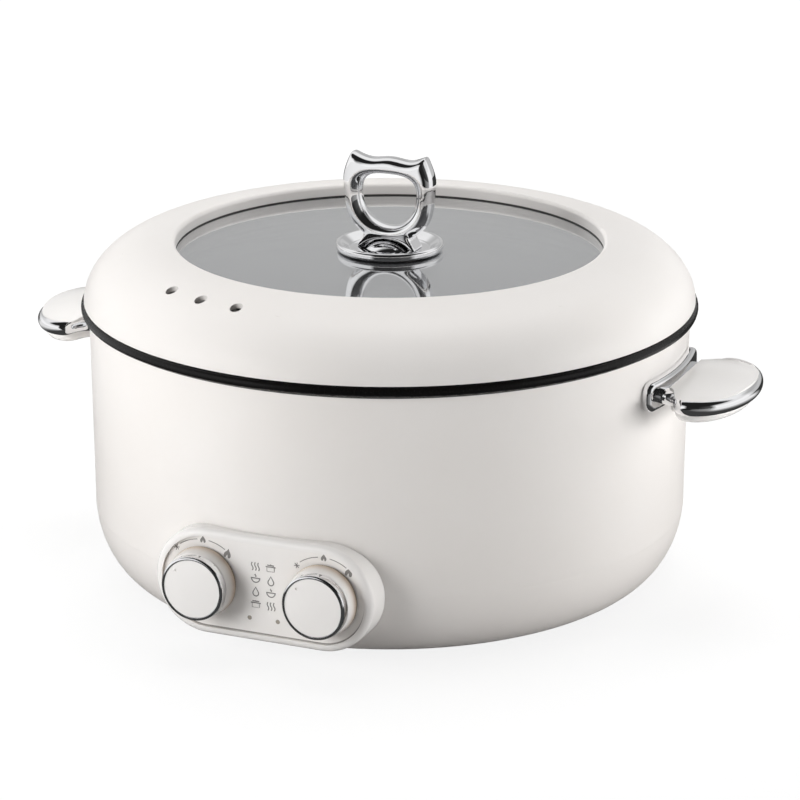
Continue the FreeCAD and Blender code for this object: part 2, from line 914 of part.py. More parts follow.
def regulator_nuts():
    front = -bracket_front - nut_thickness
    nuts = []
    for x in knob_places():
        corners = []
        for i in range(7):
            angle = math.radians(60 * i)
            corners.append(Vector(x + nut_radius * math.cos(angle), front,
                                  panel_height + nut_radius * math.sin(angle)))
        nut = Part.Face(Part.makePolygon(corners)).extrude(Vector(0, nut_thickness, 0))
        nuts.append(nut.cut(rod_y(regulator_neck_radius + running, front, -bracket_front, x, panel_height)))
    return Part.makeCompound(nuts)


# ---------------------------------------------------------------- knobs
def facing_front(shape, x):
    """A piece drawn upright, turned to face the front on a knob's axis."""
    turned_shape = shape.rotated(CENTRE, Vector(1, 0, 0), 90)
    turned_shape.translate(Vector(x, -face_front, panel_height))
    return turned_shape


def spindle_section(radius, low, high):
    """An upright D-shaped bar."""
    bar = rod(radius, low, high)
    side = spindle_flat + (radius - spindle_radius)
    flat = Part.makeBox(2 * radius, 4 * radius, high - low, Vector(side, -2 * radius, low))
    return bar.cut(flat)


def knob_body(x):
    deck = knob_skirt_height - knob_deck
    neck_top = knob_skirt_height + knob_neck_height
    edges = outline([
        (0, neck_top, 0),
        (knob_neck_radius, neck_top, 0),
        (knob_neck_radius, knob_skirt_height, 0),
        (knob_skirt_radius, knob_skirt_height, knob_edge_rounding),
        (knob_base_radius, knob_gap, knob_edge_rounding),
        (knob_base_radius - knob_shell, knob_gap, 0),
        (knob_skirt_radius - knob_shell, deck, knob_inner_rounding),
        (knob_hub_radius, deck, 0),
        (knob_hub_radius, knob_gap, 0),
        (0, knob_gap, 0),
    ])
    body = turned(edges).cut(spindle_section(spindle_radius, knob_gap, neck_top - spindle_roof))
    return facing_front(body, x)


def knob_ring(x):
    top = knob_skirt_height + knob_ring_height
    seat = knob_skirt_height + knob_neck_height
    edges = outline([
        (knob_neck_radius, knob_skirt_height, 0),
        (knob_ring_radius, knob_skirt_height, knob_ring_edge),
        (knob_ring_radius, top, knob_ring_rounding),
        (knob_cap_radius + running, top, knob_ring_edge),
        (knob_cap_radius + running, seat, 0),
        (knob_neck_radius, seat, 0),
    ])
    return facing_front(turned(edges), x)


def knob_cap(x):
    seat = knob_skirt_height + knob_neck_height
    rim = seat + knob_cap_thickness - knob_cap_crown
    edge = at(knob_cap_radius, rim)
    peak = at(0, rim + knob_cap_crown)
    halfway = at(knob_cap_radius / 2, rim + knob_cap_crown * 0.75)
    cap = turned([
        straight(at(0, seat), at(knob_cap_radius, seat)),
        straight(at(knob_cap_radius, seat), edge),
        Part.Arc(edge, halfway, peak).toShape(),
        straight(peak, at(0, seat)),
    ])
    turn = math.radians(90 + knob_off_angle)
    dot = rod(knob_dot_radius, rim - knob_dot_depth, rim + knob_cap_crown + run_past,
              knob_dot_circle * math.cos(turn), knob_dot_circle * math.sin(turn))
    return facing_front(cap.cut(dot), x)


def spindle(x):
    low = -(bracket_setback - regulator_neck_length / 2)
    high = knob_skirt_height + knob_neck_height - spindle_roof
    bar = joined([rod(spindle_radius, low, knob_gap), spindle_section(spindle_radius, knob_gap, high)])
    return facing_front(bar, x)


# ---------------------------------------------------------------- power inlet
def inlet_shroud():
    start = panel_window_depth()
    width, height = inlet_shroud_size
    shell = rounded_bar(width, height, inlet_shroud_rounding, start, inlet_shroud_back, panel_height)
    shell = rounded_where(shell, inlet_shroud_edge, lambda box: box.YMin > inlet_shroud_back - 0.01)
    shell = shell.cut(drum_core(seam))
    window = rounded_bar(inlet_body_size[0] + 2 * fit, inlet_body_size[1] + 2 * fit,
                         inlet_body_rounding + fit, start, inlet_shroud_back, panel_height)
    recess = rounded_bar(inlet_flange_size[0] + 2 * fit, inlet_flange_size[1] + 2 * fit,
                         inlet_flange_rounding, inlet_flange_back, inlet_shroud_back, panel_height)
    shell = shell.cut([window, recess])
    for x in (-inlet_screw_x, inlet_screw_x):
        shell = shell.cut(rod_y(inlet_screw_radius, start, inlet_shroud_back, x, panel_height))
    return shell


def inlet_pin_places():
    """Two line pins level with each other and the earth pin above them."""
    return ((-inlet_pin_pitch, -inlet_pin_drop), (inlet_pin_pitch, -inlet_pin_drop), (0, inlet_pin_drop))


def power_inlet():
    inner_end = inlet_flange_back - inlet_body_depth + inlet_flange_thickness
    flange = rounded_bar(inlet_flange_size[0], inlet_flange_size[1], inlet_flange_rounding,
                         inlet_flange_back, inlet_front, panel_height)
    body = rounded_bar(inlet_body_size[0], inlet_body_size[1], inlet_body_rounding,
                       inner_end, inlet_flange_back, panel_height)
    socket = rounded_bar(inlet_socket_size[0], inlet_socket_size[1], inlet_socket_rounding,
                         inlet_front - inlet_socket_depth, inlet_front, panel_height)
    piece = joined([flange, body]).cut(socket)
    for x, z in inlet_pin_places():
        piece = piece.cut(rod_y(inlet_pin_radius, inner_end, inlet_front, x, panel_height + z))
    for x in (-inlet_screw_x, inlet_screw_x):
        piece = piece.cut(rod_y(inlet_screw_radius + fit, inlet_flange_back, inlet_front, x, panel_height))
    return piece


def inlet_pins():
    start = inlet_flange_back - inlet_body_depth + inlet_flange_thickness - inlet_tab_length
    end = inlet_front - inlet_pin_setback
    pins = []
    for x, z in inlet_pin_places():
        pin = rod_y(inlet_pin_radius, start, end, x, panel_height + z)
        pins.append(rounded_where(pin, inlet_pin_rounding, lambda box: box.YMin > end - 0.01))
    return Part.makeCompound(pins)


def inlet_screws():
    screws = []
    for x in (-inlet_screw_x, inlet_screw_x):
        wall = math.sqrt((wall_radius - drum_wall) ** 2 - x * x)
        shank = rod_y(inlet_screw_radius - running, wall, inlet_front, x, panel_height)
        head = rod_y(inlet_screw_head_radius, inlet_front, inlet_front + inlet_screw_head_height,
                     x, panel_height)
        screws.append(joined([shank, head]))
    return Part.makeCompound(screws)


# ---------------------------------------------------------------- wiring
def terminal_block():
    body = block(0, block_y, base_inside, block_size)
    top = base_inside + block_size[2]
    wells = [rod(block_well_radius, top - block_well_depth, top, share * block_well_pitch, block_y)
             for share in (-1.5, -0.5, 0.5, 1.5)]
    return body.cut(wells)


def supply_leads():
    """Line and neutral from the inlet to the block, and the earth to the pan's rear boss."""
    start = inlet_flange_back - inlet_body_depth + inlet_flange_thickness - inlet_tab_length
    low = panel_height - inlet_pin_drop
    drop_y = start - supply_run
    wires = []
    for x in (-inlet_pin_pitch, inlet_pin_pitch):
        wires.append(lead([
            Vector(x, start, low),
            Vector(x, drop_y, low),
            Vector(x, drop_y, lead_height),
            Vector(x, block_y + block_size[1] / 2, lead_height),
        ]))
    earth = panel_height + inlet_pin_drop
    post_side = boss_circle_radius + post_radius
    wires.append(lead([
        Vector(0, start, earth),
        Vector(0, start - earth_run, earth),
        Vector(0, post_side + lead_radius + earth_step, shield_bottom - earth_drop),
        Vector(0, post_side, shield_bottom - earth_drop),
    ]))
    return Part.makeCompound(wires)


def regulator_feed_leads():
    """From the block forward to the back of each regulator."""
    end = -bracket_back + regulator_size[1]
    wires = []
    for side in (-1, 1):
        x = side * block_size[0] * 0.3
        tab_x = side * (knob_spacing / 2 - regulator_size[0] / 4)
        wires.append(lead([
            Vector(x, block_y - block_size[1] / 2, lead_height),
            Vector(x, end + lead_run, lead_height),
            Vector(tab_x, end + lead_run, panel_height - tab_drop),
            Vector(tab_x, end, panel_height - tab_drop),
        ]))
    return Part.makeCompound(wires)


def heater_leads():
    """From each regulator to the front pin of its heater, and from the rear pins to the block."""
    rear = heater_end(1)[1]
    regulator_back = -bracket_back + regulator_size[1]
    low = lead_height - lead_drop
    wires = []
    for side in (-1, 1):
        tab_x = side * (knob_spacing / 2 + regulator_size[0] / 4)
        wires.append(lead([
            Vector(tab_x, regulator_back, panel_height - tab_drop),
            Vector(tab_x, -rear.y - lead_run, panel_height - tab_drop),
            Vector(side * rear.x, -rear.y, low),
            Vector(side * rear.x, -rear.y, heater_pin_bottom),
        ]))
        wires.append(lead([
            Vector(side * rear.x, rear.y, heater_pin_bottom),
            Vector(side * rear.x, rear.y, low),
            Vector(side * rear.x, block_y, low),
            Vector(side * block_size[0] / 2, block_y, low),
        ]))
    return Part.makeCompound(wires)


# ---------------------------------------------------------------- side handles
def handle_plan(inset, height):
    """The plan of one side handle, a neck that widens to an oval paddle, at a height."""
    half_width = paddle_half_width - inset
    half_neck = neck_half_width - inset
    reach = paddle_reach - inset
    root = neck_start - 2 * saddle_thickness
    middle_x = (neck_start + paddle_centre) / 2
    middle_y = half_neck + (half_width - half_neck) * neck_fullness
    oval = Part.Ellipse(
        Vector(paddle_centre, half_width, height),
        Vector(paddle_centre + reach, 0, height),
        Vector(paddle_centre, 0, height),
    )
    edges = [Part.ArcOfEllipse(oval, 0, math.pi).toShape()]
    edges.append(straight(Vector(root, half_neck, height), Vector(root, -half_neck, height)))
    for side in (-1, 1):
        shoulder = Vector(neck_start, side * half_neck, height)
        middle = Vector(middle_x, side * middle_y, height)
        widest = Vector(paddle_centre, side * half_width, height)
        edges.append(straight(Vector(root, side * half_neck, height), shoulder))
        edges.append(smooth([shoulder, middle, widest], Vector(1, 0, 0), Vector(1, 0, 0)))
    return face_of(edges)


def handle_saddle():
    """The curved bar that lies on the drum and carries the paddle."""
    inner = drum_top_radius - wall_flare + seam
    low = saddle_middle - saddle_height / 2
    profile = outline([
        (inner, low, 0),
        (saddle_radius, low, 0),
        (saddle_radius, low + saddle_height, 0),
        (inner, low + saddle_height, 0),
    ])
    bar = turned(profile, 2 * saddle_half_angle).rotated(CENTRE, AXIS_Z, -saddle_half_angle)
    end = saddle_radius * math.sin(math.radians(saddle_half_angle)) * 0.9
    bar = rounded_where(bar, saddle_corner, lambda box: (
        abs((box.YMin + box.YMax) / 2) > end and box.ZLength < 0.01 and box.XLength < 2 * saddle_thickness))
    far = saddle_radius * math.cos(math.radians(saddle_half_angle)) - 0.5
    return rounded_where(bar, saddle_rounding, lambda box: box.XMin > far)


def right_handle_frame():
    low = paddle_height - paddle_thickness / 2
    paddle = handle_plan(0, low).extrude(Vector(0, 0, paddle_thickness))
    paddle = rounded_where(paddle, paddle_rounding,
                           lambda box: box.ZLength < 0.01 and box.XMax > neck_start - 1)
    frame = joined([paddle, handle_saddle()]).cut(drum_core(seam))
    frame = frame.cut(inlay_pocket(running))
    tip = handle_screw_tip() + fit
    bores = [rod_x(handle_screw_radius - running, base_flat_radius, tip, y, saddle_middle)
             for y in (-handle_screw_y, handle_screw_y)]
    return frame.cut(bores)


def handle_screw_tip():
    """How far out the handle screws reach, short of the saddle's outer face."""
    return math.sqrt(saddle_radius ** 2 - handle_screw_y ** 2) - handle_screw_cover


def near_the_drum(growth):
    """Everything nearer the drum than the inlays reach."""
    return rod(neck_start + inlay_setback - growth, 0, drum_top)


def inlay_pocket(growth):
    """The two shallow pockets in the paddle that the cream inlays sit in."""
    top = paddle_height + paddle_thickness / 2 - inlay_seat
    low = paddle_height - paddle_thickness / 2 + inlay_seat
    upper = handle_plan(top_inlay_inset - growth, top).extrude(Vector(0, 0, paddle_thickness))
    lower = handle_plan(bottom_inlay_inset - growth, low).extrude(Vector(0, 0, -paddle_thickness))
    return joined([upper, lower]).cut(near_the_drum(growth))


def right_handle_top():
    seat = paddle_height + paddle_thickness / 2 - inlay_seat
    blank = handle_plan(top_inlay_inset, seat).extrude(Vector(0, 0, top_crown_peak))
    centre = Vector(paddle_centre - top_crown_shift, 0, paddle_height + top_crown_peak - top_crown_radius)
    return blank.common(Part.makeSphere(top_crown_radius, centre)).cut(near_the_drum(0))


def right_handle_bottom():
    seat = paddle_height - paddle_thickness / 2 + inlay_seat
    low = paddle_height - bottom_inlay_depth
    blank = handle_plan(bottom_inlay_inset, low).extrude(Vector(0, 0, seat - low))
    blank = rounded_where(blank, bottom_inlay_rounding,
                          lambda box: box.ZMax < low + 0.01 and box.XMax > neck_start - 1)
    return blank.cut(near_the_drum(0))


def right_handle_screws():
    screws = []
    for y in (-handle_screw_y, handle_screw_y):
        inside = drum_radius(saddle_middle - handle_screw_head_radius) - drum_wall
        wall = math.sqrt(inside ** 2 - (handle_screw_y + handle_screw_head_radius) ** 2)
        head = rod_x(handle_screw_head_radius, wall - handle_screw_head_height, wall, y, saddle_middle)
        shank = rod_x(handle_screw_radius - 2 * running, wall, handle_screw_tip(), y, saddle_middle)
        screws.append(joined([head, shank]))
    return Part.makeCompound(screws)


# ---------------------------------------------------------------- lid
def lid_ring():
    reach = lid_outer_radius - lid_crest_radius
    inner_radius = lid_opening_radius + lid_shell
    inner_rise = lid_rise - lid_shell
    inner_reach = lid_outer_radius - lid_shell - inner_radius
    crest = lid_bottom + lid_rise
    lip = crest - lid_lip_rounding
    middle = at(lid_crest_radius - lid_lip_rounding * math.sqrt(0.5),
                lip + lid_lip_rounding * math.sqrt(0.5))
    shell = turned([
        swell(lid_crest_radius, lid_bottom, reach, lid_rise, lid_power_r, lid_power_z),
        Part.Arc(at(lid_opening_radius, lip), middle, at(lid_crest_radius, crest)).toShape(),
        straight(at(lid_opening_radius, seal_top), at(lid_opening_radius, lip)),
        straight(at(lid_opening_radius, seal_top), at(inner_radius, seal_top)),
        straight(at(inner_radius, seal_top), at(inner_radius, lid_bottom + inner_rise)),
        swell(inner_radius, lid_bottom, inner_reach, inner_rise, lid_power_r, lid_power_z),
        straight(at(lid_outer_radius - lid_shell, lid_bottom), at(lid_outer_radius, lid_bottom)),
    ])
    seat = lid_bottom + boss_seat_height
    crown = lid_crown_at(liner_screw_circle)
    bosses = [rod(ring_boss_radius, seat, crown, x, y) for x, y in liner_screw_places()]
    bores = [rod(liner_screw_radius + running, seat, seat + liner_screw_grip + fit, x, y)
             for x, y in liner_screw_places()]
    return joined([shell] + bosses).cut(bores).cut(clip_blocks(fit)).cut(vent_rods())


def liner_screw_places():
    return around(liner_screw_count, liner_screw_circle, liner_screw_first_angle)


def lid_crown_at(radius):
    """The height of the ring's shell, midway through its thickness, at a radius."""
    share = (radius - lid_crest_radius) / (lid_outer_radius - lid_crest_radius)
    rise = (1 - share ** lid_power_r) ** (1 / lid_power_z)
    return lid_bottom + lid_rise * rise - lid_shell / 2


def clip_blocks(growth):
    """The six retaining clips that stand in windows of the ring's inner wall."""
    low = seal_top - growth
    high = seal_top + clip_height + growth
    inner = lid_opening_radius + seam - growth
    outer = lid_opening_radius + lid_shell + clip_depth + growth
    blocks = []
    profile = outline([(inner, low, 0), (outer, low, 0), (outer, high, 0), (inner, high, 0)])
    sector = turned(profile, clip_width_angle)
    for i in range(clip_count):
        middle = clip_first_angle + 360 / clip_count * i
        blocks.append(sector.rotated(CENTRE, AXIS_Z, middle - clip_width_angle / 2))
    return blocks


def glass_clips():
    return Part.makeCompound(clip_blocks(0))


def vent_rods():
    """The three steam holes, straight down through the ring and its liner."""
    rods = []
    for angle in vent_angles:
        turn = math.radians(angle)
        rods.append(rod(vent_radius, lid_bottom, lid_bottom + lid_rise,
                        vent_circle * math.sin(turn), -vent_circle * math.cos(turn)))
    return rods


def lid_glass():
    pane = rod(glass_radius, glass_bottom, glass_top)
    pane = rounded_where(pane, glass_rounding, lambda box: box.ZLength < 0.01)
    return pane.cut(rod(lid_screw_radius + glass_hole_gap, glass_bottom, glass_top))


def glass_seal():
    inner = lid_opening_radius + seam
    ring = rod(seal_radius, seal_bottom, seal_top).cut(rod(inner, seal_bottom, seal_top))
    return ring.cut(rod(glass_radius, glass_bottom, glass_top))


def lid_liner():
    flange_top = lid_bottom + liner_thickness
    flange_edge = lid_outer_radius - lid_shell - seam
    seat_inner = lid_opening_radius - liner_seat_lap
    seat_edge = seal_radius + liner_seat_edge
    seat_low = seal_bottom - liner_thickness
    cone = turned(outline([
        (liner_spigot_radius - liner_thickness, lid_bottom - liner_spigot_depth, liner_edge_rounding),
        (liner_spigot_radius, lid_bottom - liner_spigot_depth, liner_edge_rounding),
        (liner_spigot_radius, lid_bottom, 0),
        (flange_edge, lid_bottom, 0),
        (flange_edge, flange_top, 0),
        (liner_spigot_radius + liner_step, flange_top, liner_bend_outer),
        (seat_edge, seal_bottom, liner_bend_inner),
        (seat_inner, seal_bottom, liner_edge_rounding),
        (seat_inner, seat_low, liner_edge_rounding),
        (seat_edge - liner_seat_step, seat_low, liner_bend_outer),
        (liner_spigot_radius - liner_thickness, lid_bottom + liner_step, liner_bend_inner),
    ]))
    seat = lid_bottom + boss_seat_height
    pads = [rod(liner_boss_radius, seat - liner_pad_height, seat, x, y) for x, y in liner_screw_places()]
    cone = joined([cone] + pads)
    for x, y in liner_screw_places():
        cone = cone.cut(rod(ring_boss_radius + fit, seat, lid_bottom + lid_rise, x, y))
        cone = cone.cut(rod(liner_screw_radius + fit, lid_bottom, seat, x, y))
        cone = cone.cut(rod(liner_screw_head_radius + fit, lid_bottom, seat - liner_screw_head_height, x, y))
    return cone.cut(vent_rods())


def liner_screws():
    seat = lid_bottom + boss_seat_height - liner_screw_head_height
    screws = []
    for x, y in liner_screw_places():
        head = rod(liner_screw_head_radius, seat - liner_screw_head_height, seat, x, y)
        shank = rod(liner_screw_radius, seat, seat + liner_screw_head_height + liner_screw_grip, x, y)
        screws.append(joined([head, shank]))
    return Part.makeCompound(screws)


# ---------------------------------------------------------------- lid handle
def grip_outline():
    """The front outline of the handle: two legs, a waist, a round body and two raised corners."""
    foot = at(grip_foot_half, grip_bottom)
    waist = at(grip_waist_half, grip_bottom + grip_waist_rise)
    belly = at(grip_belly_half, grip_bottom + grip_belly_rise)
    side = at(grip_flank_half, grip_bottom + grip_flank_rise)
    widest = at(grip_half_width, grip_bottom + grip_wide_rise)
    tip = at(grip_tip_half, grip_bottom + grip_tip_rise)
    dip = at(grip_dip_half, tip.z - grip_dip_drop)
    flank = [
        straight(foot, waist),
        smooth([waist, belly, side, widest, tip], Vector(1, 0, 0.9), Vector(-0.5, 0, 1)),
    ]
    opposite = [edge.mirror(CENTRE, Vector(1, 0, 0)) for edge in flank]
    ridge = smooth([
        at(-tip.x, tip.z), at(-dip.x, dip.z), at(0, dip.z + grip_hump), dip, tip,
    ], Vector(1, 0, -0.5), Vector(1, 0, 0.5))
    arch = Part.Arc(at(-arch_half_width, grip_bottom), at(0, arch_top), at(arch_half_width, grip_bottom))
    soles = [straight(at(side * arch_half_width, grip_bottom), at(side * foot.x, grip_bottom))
             for side in (-1, 1)]
    return face_of(flank + opposite + soles + [ridge, arch.toShape()])


def finger_hole_section(depth):
    """The finger hole's outline at a depth from the middle of the plate, wider towards the faces."""
    share = abs(2 * depth / grip_thickness) ** hole_spread_power
    half_width = hole_half_width + hole_spread * share
    above = hole_top - hole_middle + hole_spread_above * share
    below = hole_middle - hole_bottom + hole_spread_below * share
    points = []
    for i in range(hole_steps):
        angle = 2 * math.pi * i / hole_steps
        rise = math.sin(angle)
        if rise > 0:
            power = hole_power_above
            reach = above
        else:
            power = hole_power_below
            reach = below
        x = half_width * math.copysign(abs(math.cos(angle)) ** power, math.cos(angle))
        z = reach * math.copysign(abs(rise) ** power, rise)
        points.append(Vector(x, depth, grip_bottom + hole_middle + z))
    curve = Part.BSplineCurve()
    curve.interpolate(Points=points, PeriodicFlag=True)
    return Part.Wire(curve.toShape())


def finger_hole():
    """The hole through the handle, round below and squarer above, with flared mouths."""
    depths = [grip_thickness * share for share in (-0.53, -0.4, -0.25, 0, 0.25, 0.4, 0.53)]
    return Part.makeLoft([finger_hole_section(depth) for depth in depths], True)


def lid_handle():
    """The upright ring, rounded round its outside and deeply round its finger hole."""
    plate = grip_outline().extrude(Vector(0, grip_thickness, 0))
    plate.translate(Vector(0, -grip_thickness / 2, 0))
    above = grip_bottom + grip_waist_rise + 0.5
    plate = rounded_where(plate, grip_rounding, lambda box: box.YLength < 0.01 and box.ZMax > above)
    plate = plate.cut(finger_hole())
    return plate.cut(rod(lid_screw_radius + running, grip_bottom, arch_top + lid_screw_grip + fit))


def handle_disc():
    """A shallow dish for the handle to stand in, with a dome that fills the handle's arch."""
    bore = lid_screw_radius + fit
    rim = disc_bottom + disc_height
    dome_top = arch_top - arch_gap
    dome = Part.Arc(at(dome_radius, grip_bottom), at(dome_radius * 0.66, grip_bottom + arch_rise * 0.6),
                    at(bore, dome_top)).toShape()
    return turned(outline([
        (bore, disc_bottom, 0),
        (disc_radius, disc_bottom, disc_rounding),
        (disc_radius, rim, disc_rounding),
        (disc_mouth_radius, rim, disc_mouth_rounding),
        (disc_floor_radius, grip_bottom, disc_floor_rounding),
        (dome_radius, grip_bottom, 0),
    ], closed=False) + [dome, straight(at(bore, dome_top), at(bore, disc_bottom))])


def handle_seals():
    hole = lid_screw_radius + fit
    upper = rod(handle_seal_radius, glass_top, disc_bottom).cut(rod(hole, glass_top, disc_bottom))
    low = glass_bottom - handle_seal_thickness
    lower = rod(lid_washer_radius + washer_seal_margin, low, glass_bottom).cut(rod(hole, low, glass_bottom))
    return Part.makeCompound([upper, lower])


def handle_washer():
    high = glass_bottom - handle_seal_thickness
    low = high - lid_washer_thickness
    return rod(lid_washer_radius, low, high).cut(rod(lid_screw_radius + fit, low, high))


def handle_screw():
    high = glass_bottom - handle_seal_thickness - lid_washer_thickness
    low = high - lid_screw_head_height
    head = rod(lid_screw_head_radius, low, high)
    head = rounded_where(head, lid_screw_head_rounding, lambda box: box.ZMax < high - 0.1)
    shank = rod(lid_screw_radius, high, arch_top + lid_screw_grip)
    slot = block(0, 0, low, (lid_screw_slot_width, lid_screw_slot_length, lid_screw_head_height / 2))
    return joined([head, shank]).cut(slot)


# ---------------------------------------------------------------- all pieces
left_knob_x, right_knob_x = knob_places()

pieces = {
    "outer_housing": outer_housing(),
    "base_plate": base_plate(),
    "feet": feet(),
    "base_posts": base_posts(),
    "base_screws": base_screws(),
    "pan": pan(),
    "pan_divider": pan_divider(),
    "rim_seal": rim_seal(),
    "right_heater": right_heater(),
    "left_heater": mirrored(right_heater()),
    "heat_shield": heat_shield(),
    "thermal_fuses": thermal_fuses(),
    "control_pod": control_pod(),
    "control_face": control_face(),
    "indicator_lenses": indicator_lenses(),
    "indicator_board": indicator_board(),
    "control_bracket": control_bracket(),
    "bracket_screws": bracket_screws(),
    "left_regulator": regulator(left_knob_x),
    "right_regulator": regulator(right_knob_x),
    "regulator_nuts": regulator_nuts(),
    "inlet_shroud": inlet_shroud(),
    "power_inlet": power_inlet(),
    "inlet_pins": inlet_pins(),
    "inlet_screws": inlet_screws(),
    "terminal_block": terminal_block(),
    "supply_leads": supply_leads(),
    "regulator_leads": regulator_feed_leads(),
    "heater_leads": heater_leads(),
    "right_handle_frame": right_handle_frame(),
    "right_handle_top": right_handle_top(),
    "right_handle_bottom": right_handle_bottom(),
    "right_handle_screws": right_handle_screws(),
    "left_handle_frame": mirrored(right_handle_frame()),
    "left_handle_top": mirrored(right_handle_top()),
    "left_handle_bottom": mirrored(right_handle_bottom()),
    "left_handle_screws": mirrored(right_handle_screws()),
    "left_knob_body": knob_body(left_knob_x),
    "left_knob_ring": knob_ring(left_knob_x),
    "left_knob_cap": knob_cap(left_knob_x),
    "left_spindle": spindle(left_knob_x),
    "right_knob_body": knob_body(right_knob_x),
    "right_knob_ring": knob_ring(right_knob_x),
    "right_knob_cap": knob_cap(right_knob_x),
    "right_spindle": spindle(right_knob_x),
    "lid_ring": lid_ring(),
    "lid_liner": lid_liner(),
    "liner_screws": liner_screws(),
    "lid_glass": lid_glass(),
    "glass_seal": glass_seal(),
    "glass_clips": glass_clips(),
    "lid_handle": lid_handle(),
    "handle_disc": handle_disc(),
    "handle_seals": handle_seals(),
    "handle_washer": handle_washer(),
    "handle_screw": handle_screw(),
}

os.makedirs("parts", exist_ok=True)
for name, shape in pieces.items():
    shape.exportStep("parts/" + name + ".step")
    box = shape.BoundBox
    print(f"{name:22s} solids {len(shape.Solids)} valid {shape.isValid()}",
          f"volume {shape.Volume / 1000:9.2f} cm3",
          f"x {box.XMin:7.1f} {box.XMax:7.1f}",
          f"y {box.YMin:7.1f} {box.YMax:7.1f}",
          f"z {box.ZMin:6.1f} {box.ZMax:6.1f}")
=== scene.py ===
# %% [markdown]
# Electric hot pot with a lift-off lid.
# The solid parts come packed from the CAD model, in metres, with Z up and the pot's axis at the
# origin. This script never moves them. It gives each one a finish, adds the print on the control
# panel, and builds a small studio round the pot.

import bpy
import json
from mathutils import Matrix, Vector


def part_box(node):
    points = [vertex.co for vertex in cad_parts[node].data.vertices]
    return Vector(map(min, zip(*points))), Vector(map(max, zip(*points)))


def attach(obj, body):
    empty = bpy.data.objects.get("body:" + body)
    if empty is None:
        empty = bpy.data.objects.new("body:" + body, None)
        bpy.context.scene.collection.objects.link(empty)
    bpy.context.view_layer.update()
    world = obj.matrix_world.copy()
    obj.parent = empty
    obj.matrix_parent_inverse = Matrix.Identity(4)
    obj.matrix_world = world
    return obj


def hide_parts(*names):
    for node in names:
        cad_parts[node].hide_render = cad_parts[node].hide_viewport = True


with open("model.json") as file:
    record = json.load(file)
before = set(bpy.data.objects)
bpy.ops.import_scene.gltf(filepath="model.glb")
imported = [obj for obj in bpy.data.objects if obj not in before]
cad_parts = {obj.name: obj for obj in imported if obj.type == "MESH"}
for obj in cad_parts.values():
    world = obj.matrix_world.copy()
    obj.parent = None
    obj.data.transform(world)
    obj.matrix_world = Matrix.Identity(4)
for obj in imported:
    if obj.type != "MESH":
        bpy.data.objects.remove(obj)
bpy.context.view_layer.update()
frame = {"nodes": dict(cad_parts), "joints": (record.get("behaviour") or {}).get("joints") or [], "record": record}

# %% The rest of the imports
import json
import math

import bmesh
import bpy
from mathutils import Vector

MM = 0.001

# %% [markdown]
# The camera stands low in front of the pot and a little to its right, where a buyer sees the
# knobs, the rim and the glass at once. A long lens from 1.7 m away keeps the round rim from
# looking stretched. Turning a camera by hand is hard to repeat, so its place is worked out from
# a direction, a distance and the point that it looks at.

# %% Camera
CAMERA_AZIMUTH = math.radians(23.0)
CAMERA_ELEVATION = math.radians(18.02)
CAMERA_DISTANCE = 1.7465
CAMERA_TARGET = Vector((0, 0, 0.094))
CAMERA_LENS = 149.65
CAMERA_SENSOR = 36
CAMERA_SHIFT_X, CAMERA_SHIFT_Y = 0.0128, -0.0059


def direction(azimuth, elevation):
    """A unit vector towards a place round the pot; azimuth 0 is the front and 90 the right."""
    level = math.cos(elevation)
    return Vector((math.sin(azimuth) * level, -math.cos(azimuth) * level, math.sin(elevation)))


back = direction(CAMERA_AZIMUTH, CAMERA_ELEVATION)
camera_data = bpy.data.cameras.new("camera")
camera_data.lens = CAMERA_LENS
camera_data.sensor_width = CAMERA_SENSOR
camera_data.shift_x = CAMERA_SHIFT_X
camera_data.shift_y = CAMERA_SHIFT_Y
camera = bpy.data.objects.new("camera", camera_data)
camera.location = CAMERA_TARGET + back * CAMERA_DISTANCE
camera.rotation_mode = "QUATERNION"
camera.rotation_quaternion = (-back).to_track_quat("-Z", "Y")
bpy.context.scene.collection.objects.link(camera)
bpy.context.scene.camera = camera
bpy.context.scene.view_settings.view_transform = "Standard"
print("camera at", [round(c, 3) for c in camera.location])

# %% [markdown]
# A finish is a small machine of nodes, and most of its nodes do sums. Placing each Math node by
# hand would bury the idea, so a Field wraps one socket and turns Python's own operators into
# nodes: `1 - mask` or `speckle * 0.2` then read as they are thought. Numbers stay numbers until
# they meet a Field. Colours never pass through these operators, because a Math node would turn
# them grey; they are mixed by a Mix node.

# %% Sums written as Python
class Field:
    """One value socket of a shader tree."""

    def __init__(self, finish, socket):
        self.finish = finish
        self.socket = socket

    def __add__(self, other):
        return self.finish.maths("ADD", self, other)

    def __radd__(self, other):
        return self.finish.maths("ADD", other, self)

    def __sub__(self, other):
        return self.finish.maths("SUBTRACT", self, other)

    def __rsub__(self, other):
        return self.finish.maths("SUBTRACT", other, self)

    def __mul__(self, other):
        return self.finish.maths("MULTIPLY", self, other)

    def __rmul__(self, other):
        return self.finish.maths("MULTIPLY", other, self)

    def __truediv__(self, other):
        return self.finish.maths("DIVIDE", self, other)

    def __pow__(self, other):
        return self.finish.maths("POWER", self, other)

    def __gt__(self, other):
        return self.finish.maths("GREATER_THAN", self, other)

    def __lt__(self, other):
        return self.finish.maths("LESS_THAN", self, other)

    def between(self, low, high):
        """0 below low, 1 above high, and a smooth step in between."""
        settings = {"interpolation_type": "SMOOTHSTEP"}
        sockets = {"Value": self, "From Min": low, "From Max": high, "To Min": 0, "To Max": 1}
        node = self.finish.add("ShaderNodeMapRange", settings, sockets)
        return Field(self.finish, node.outputs["Result"])


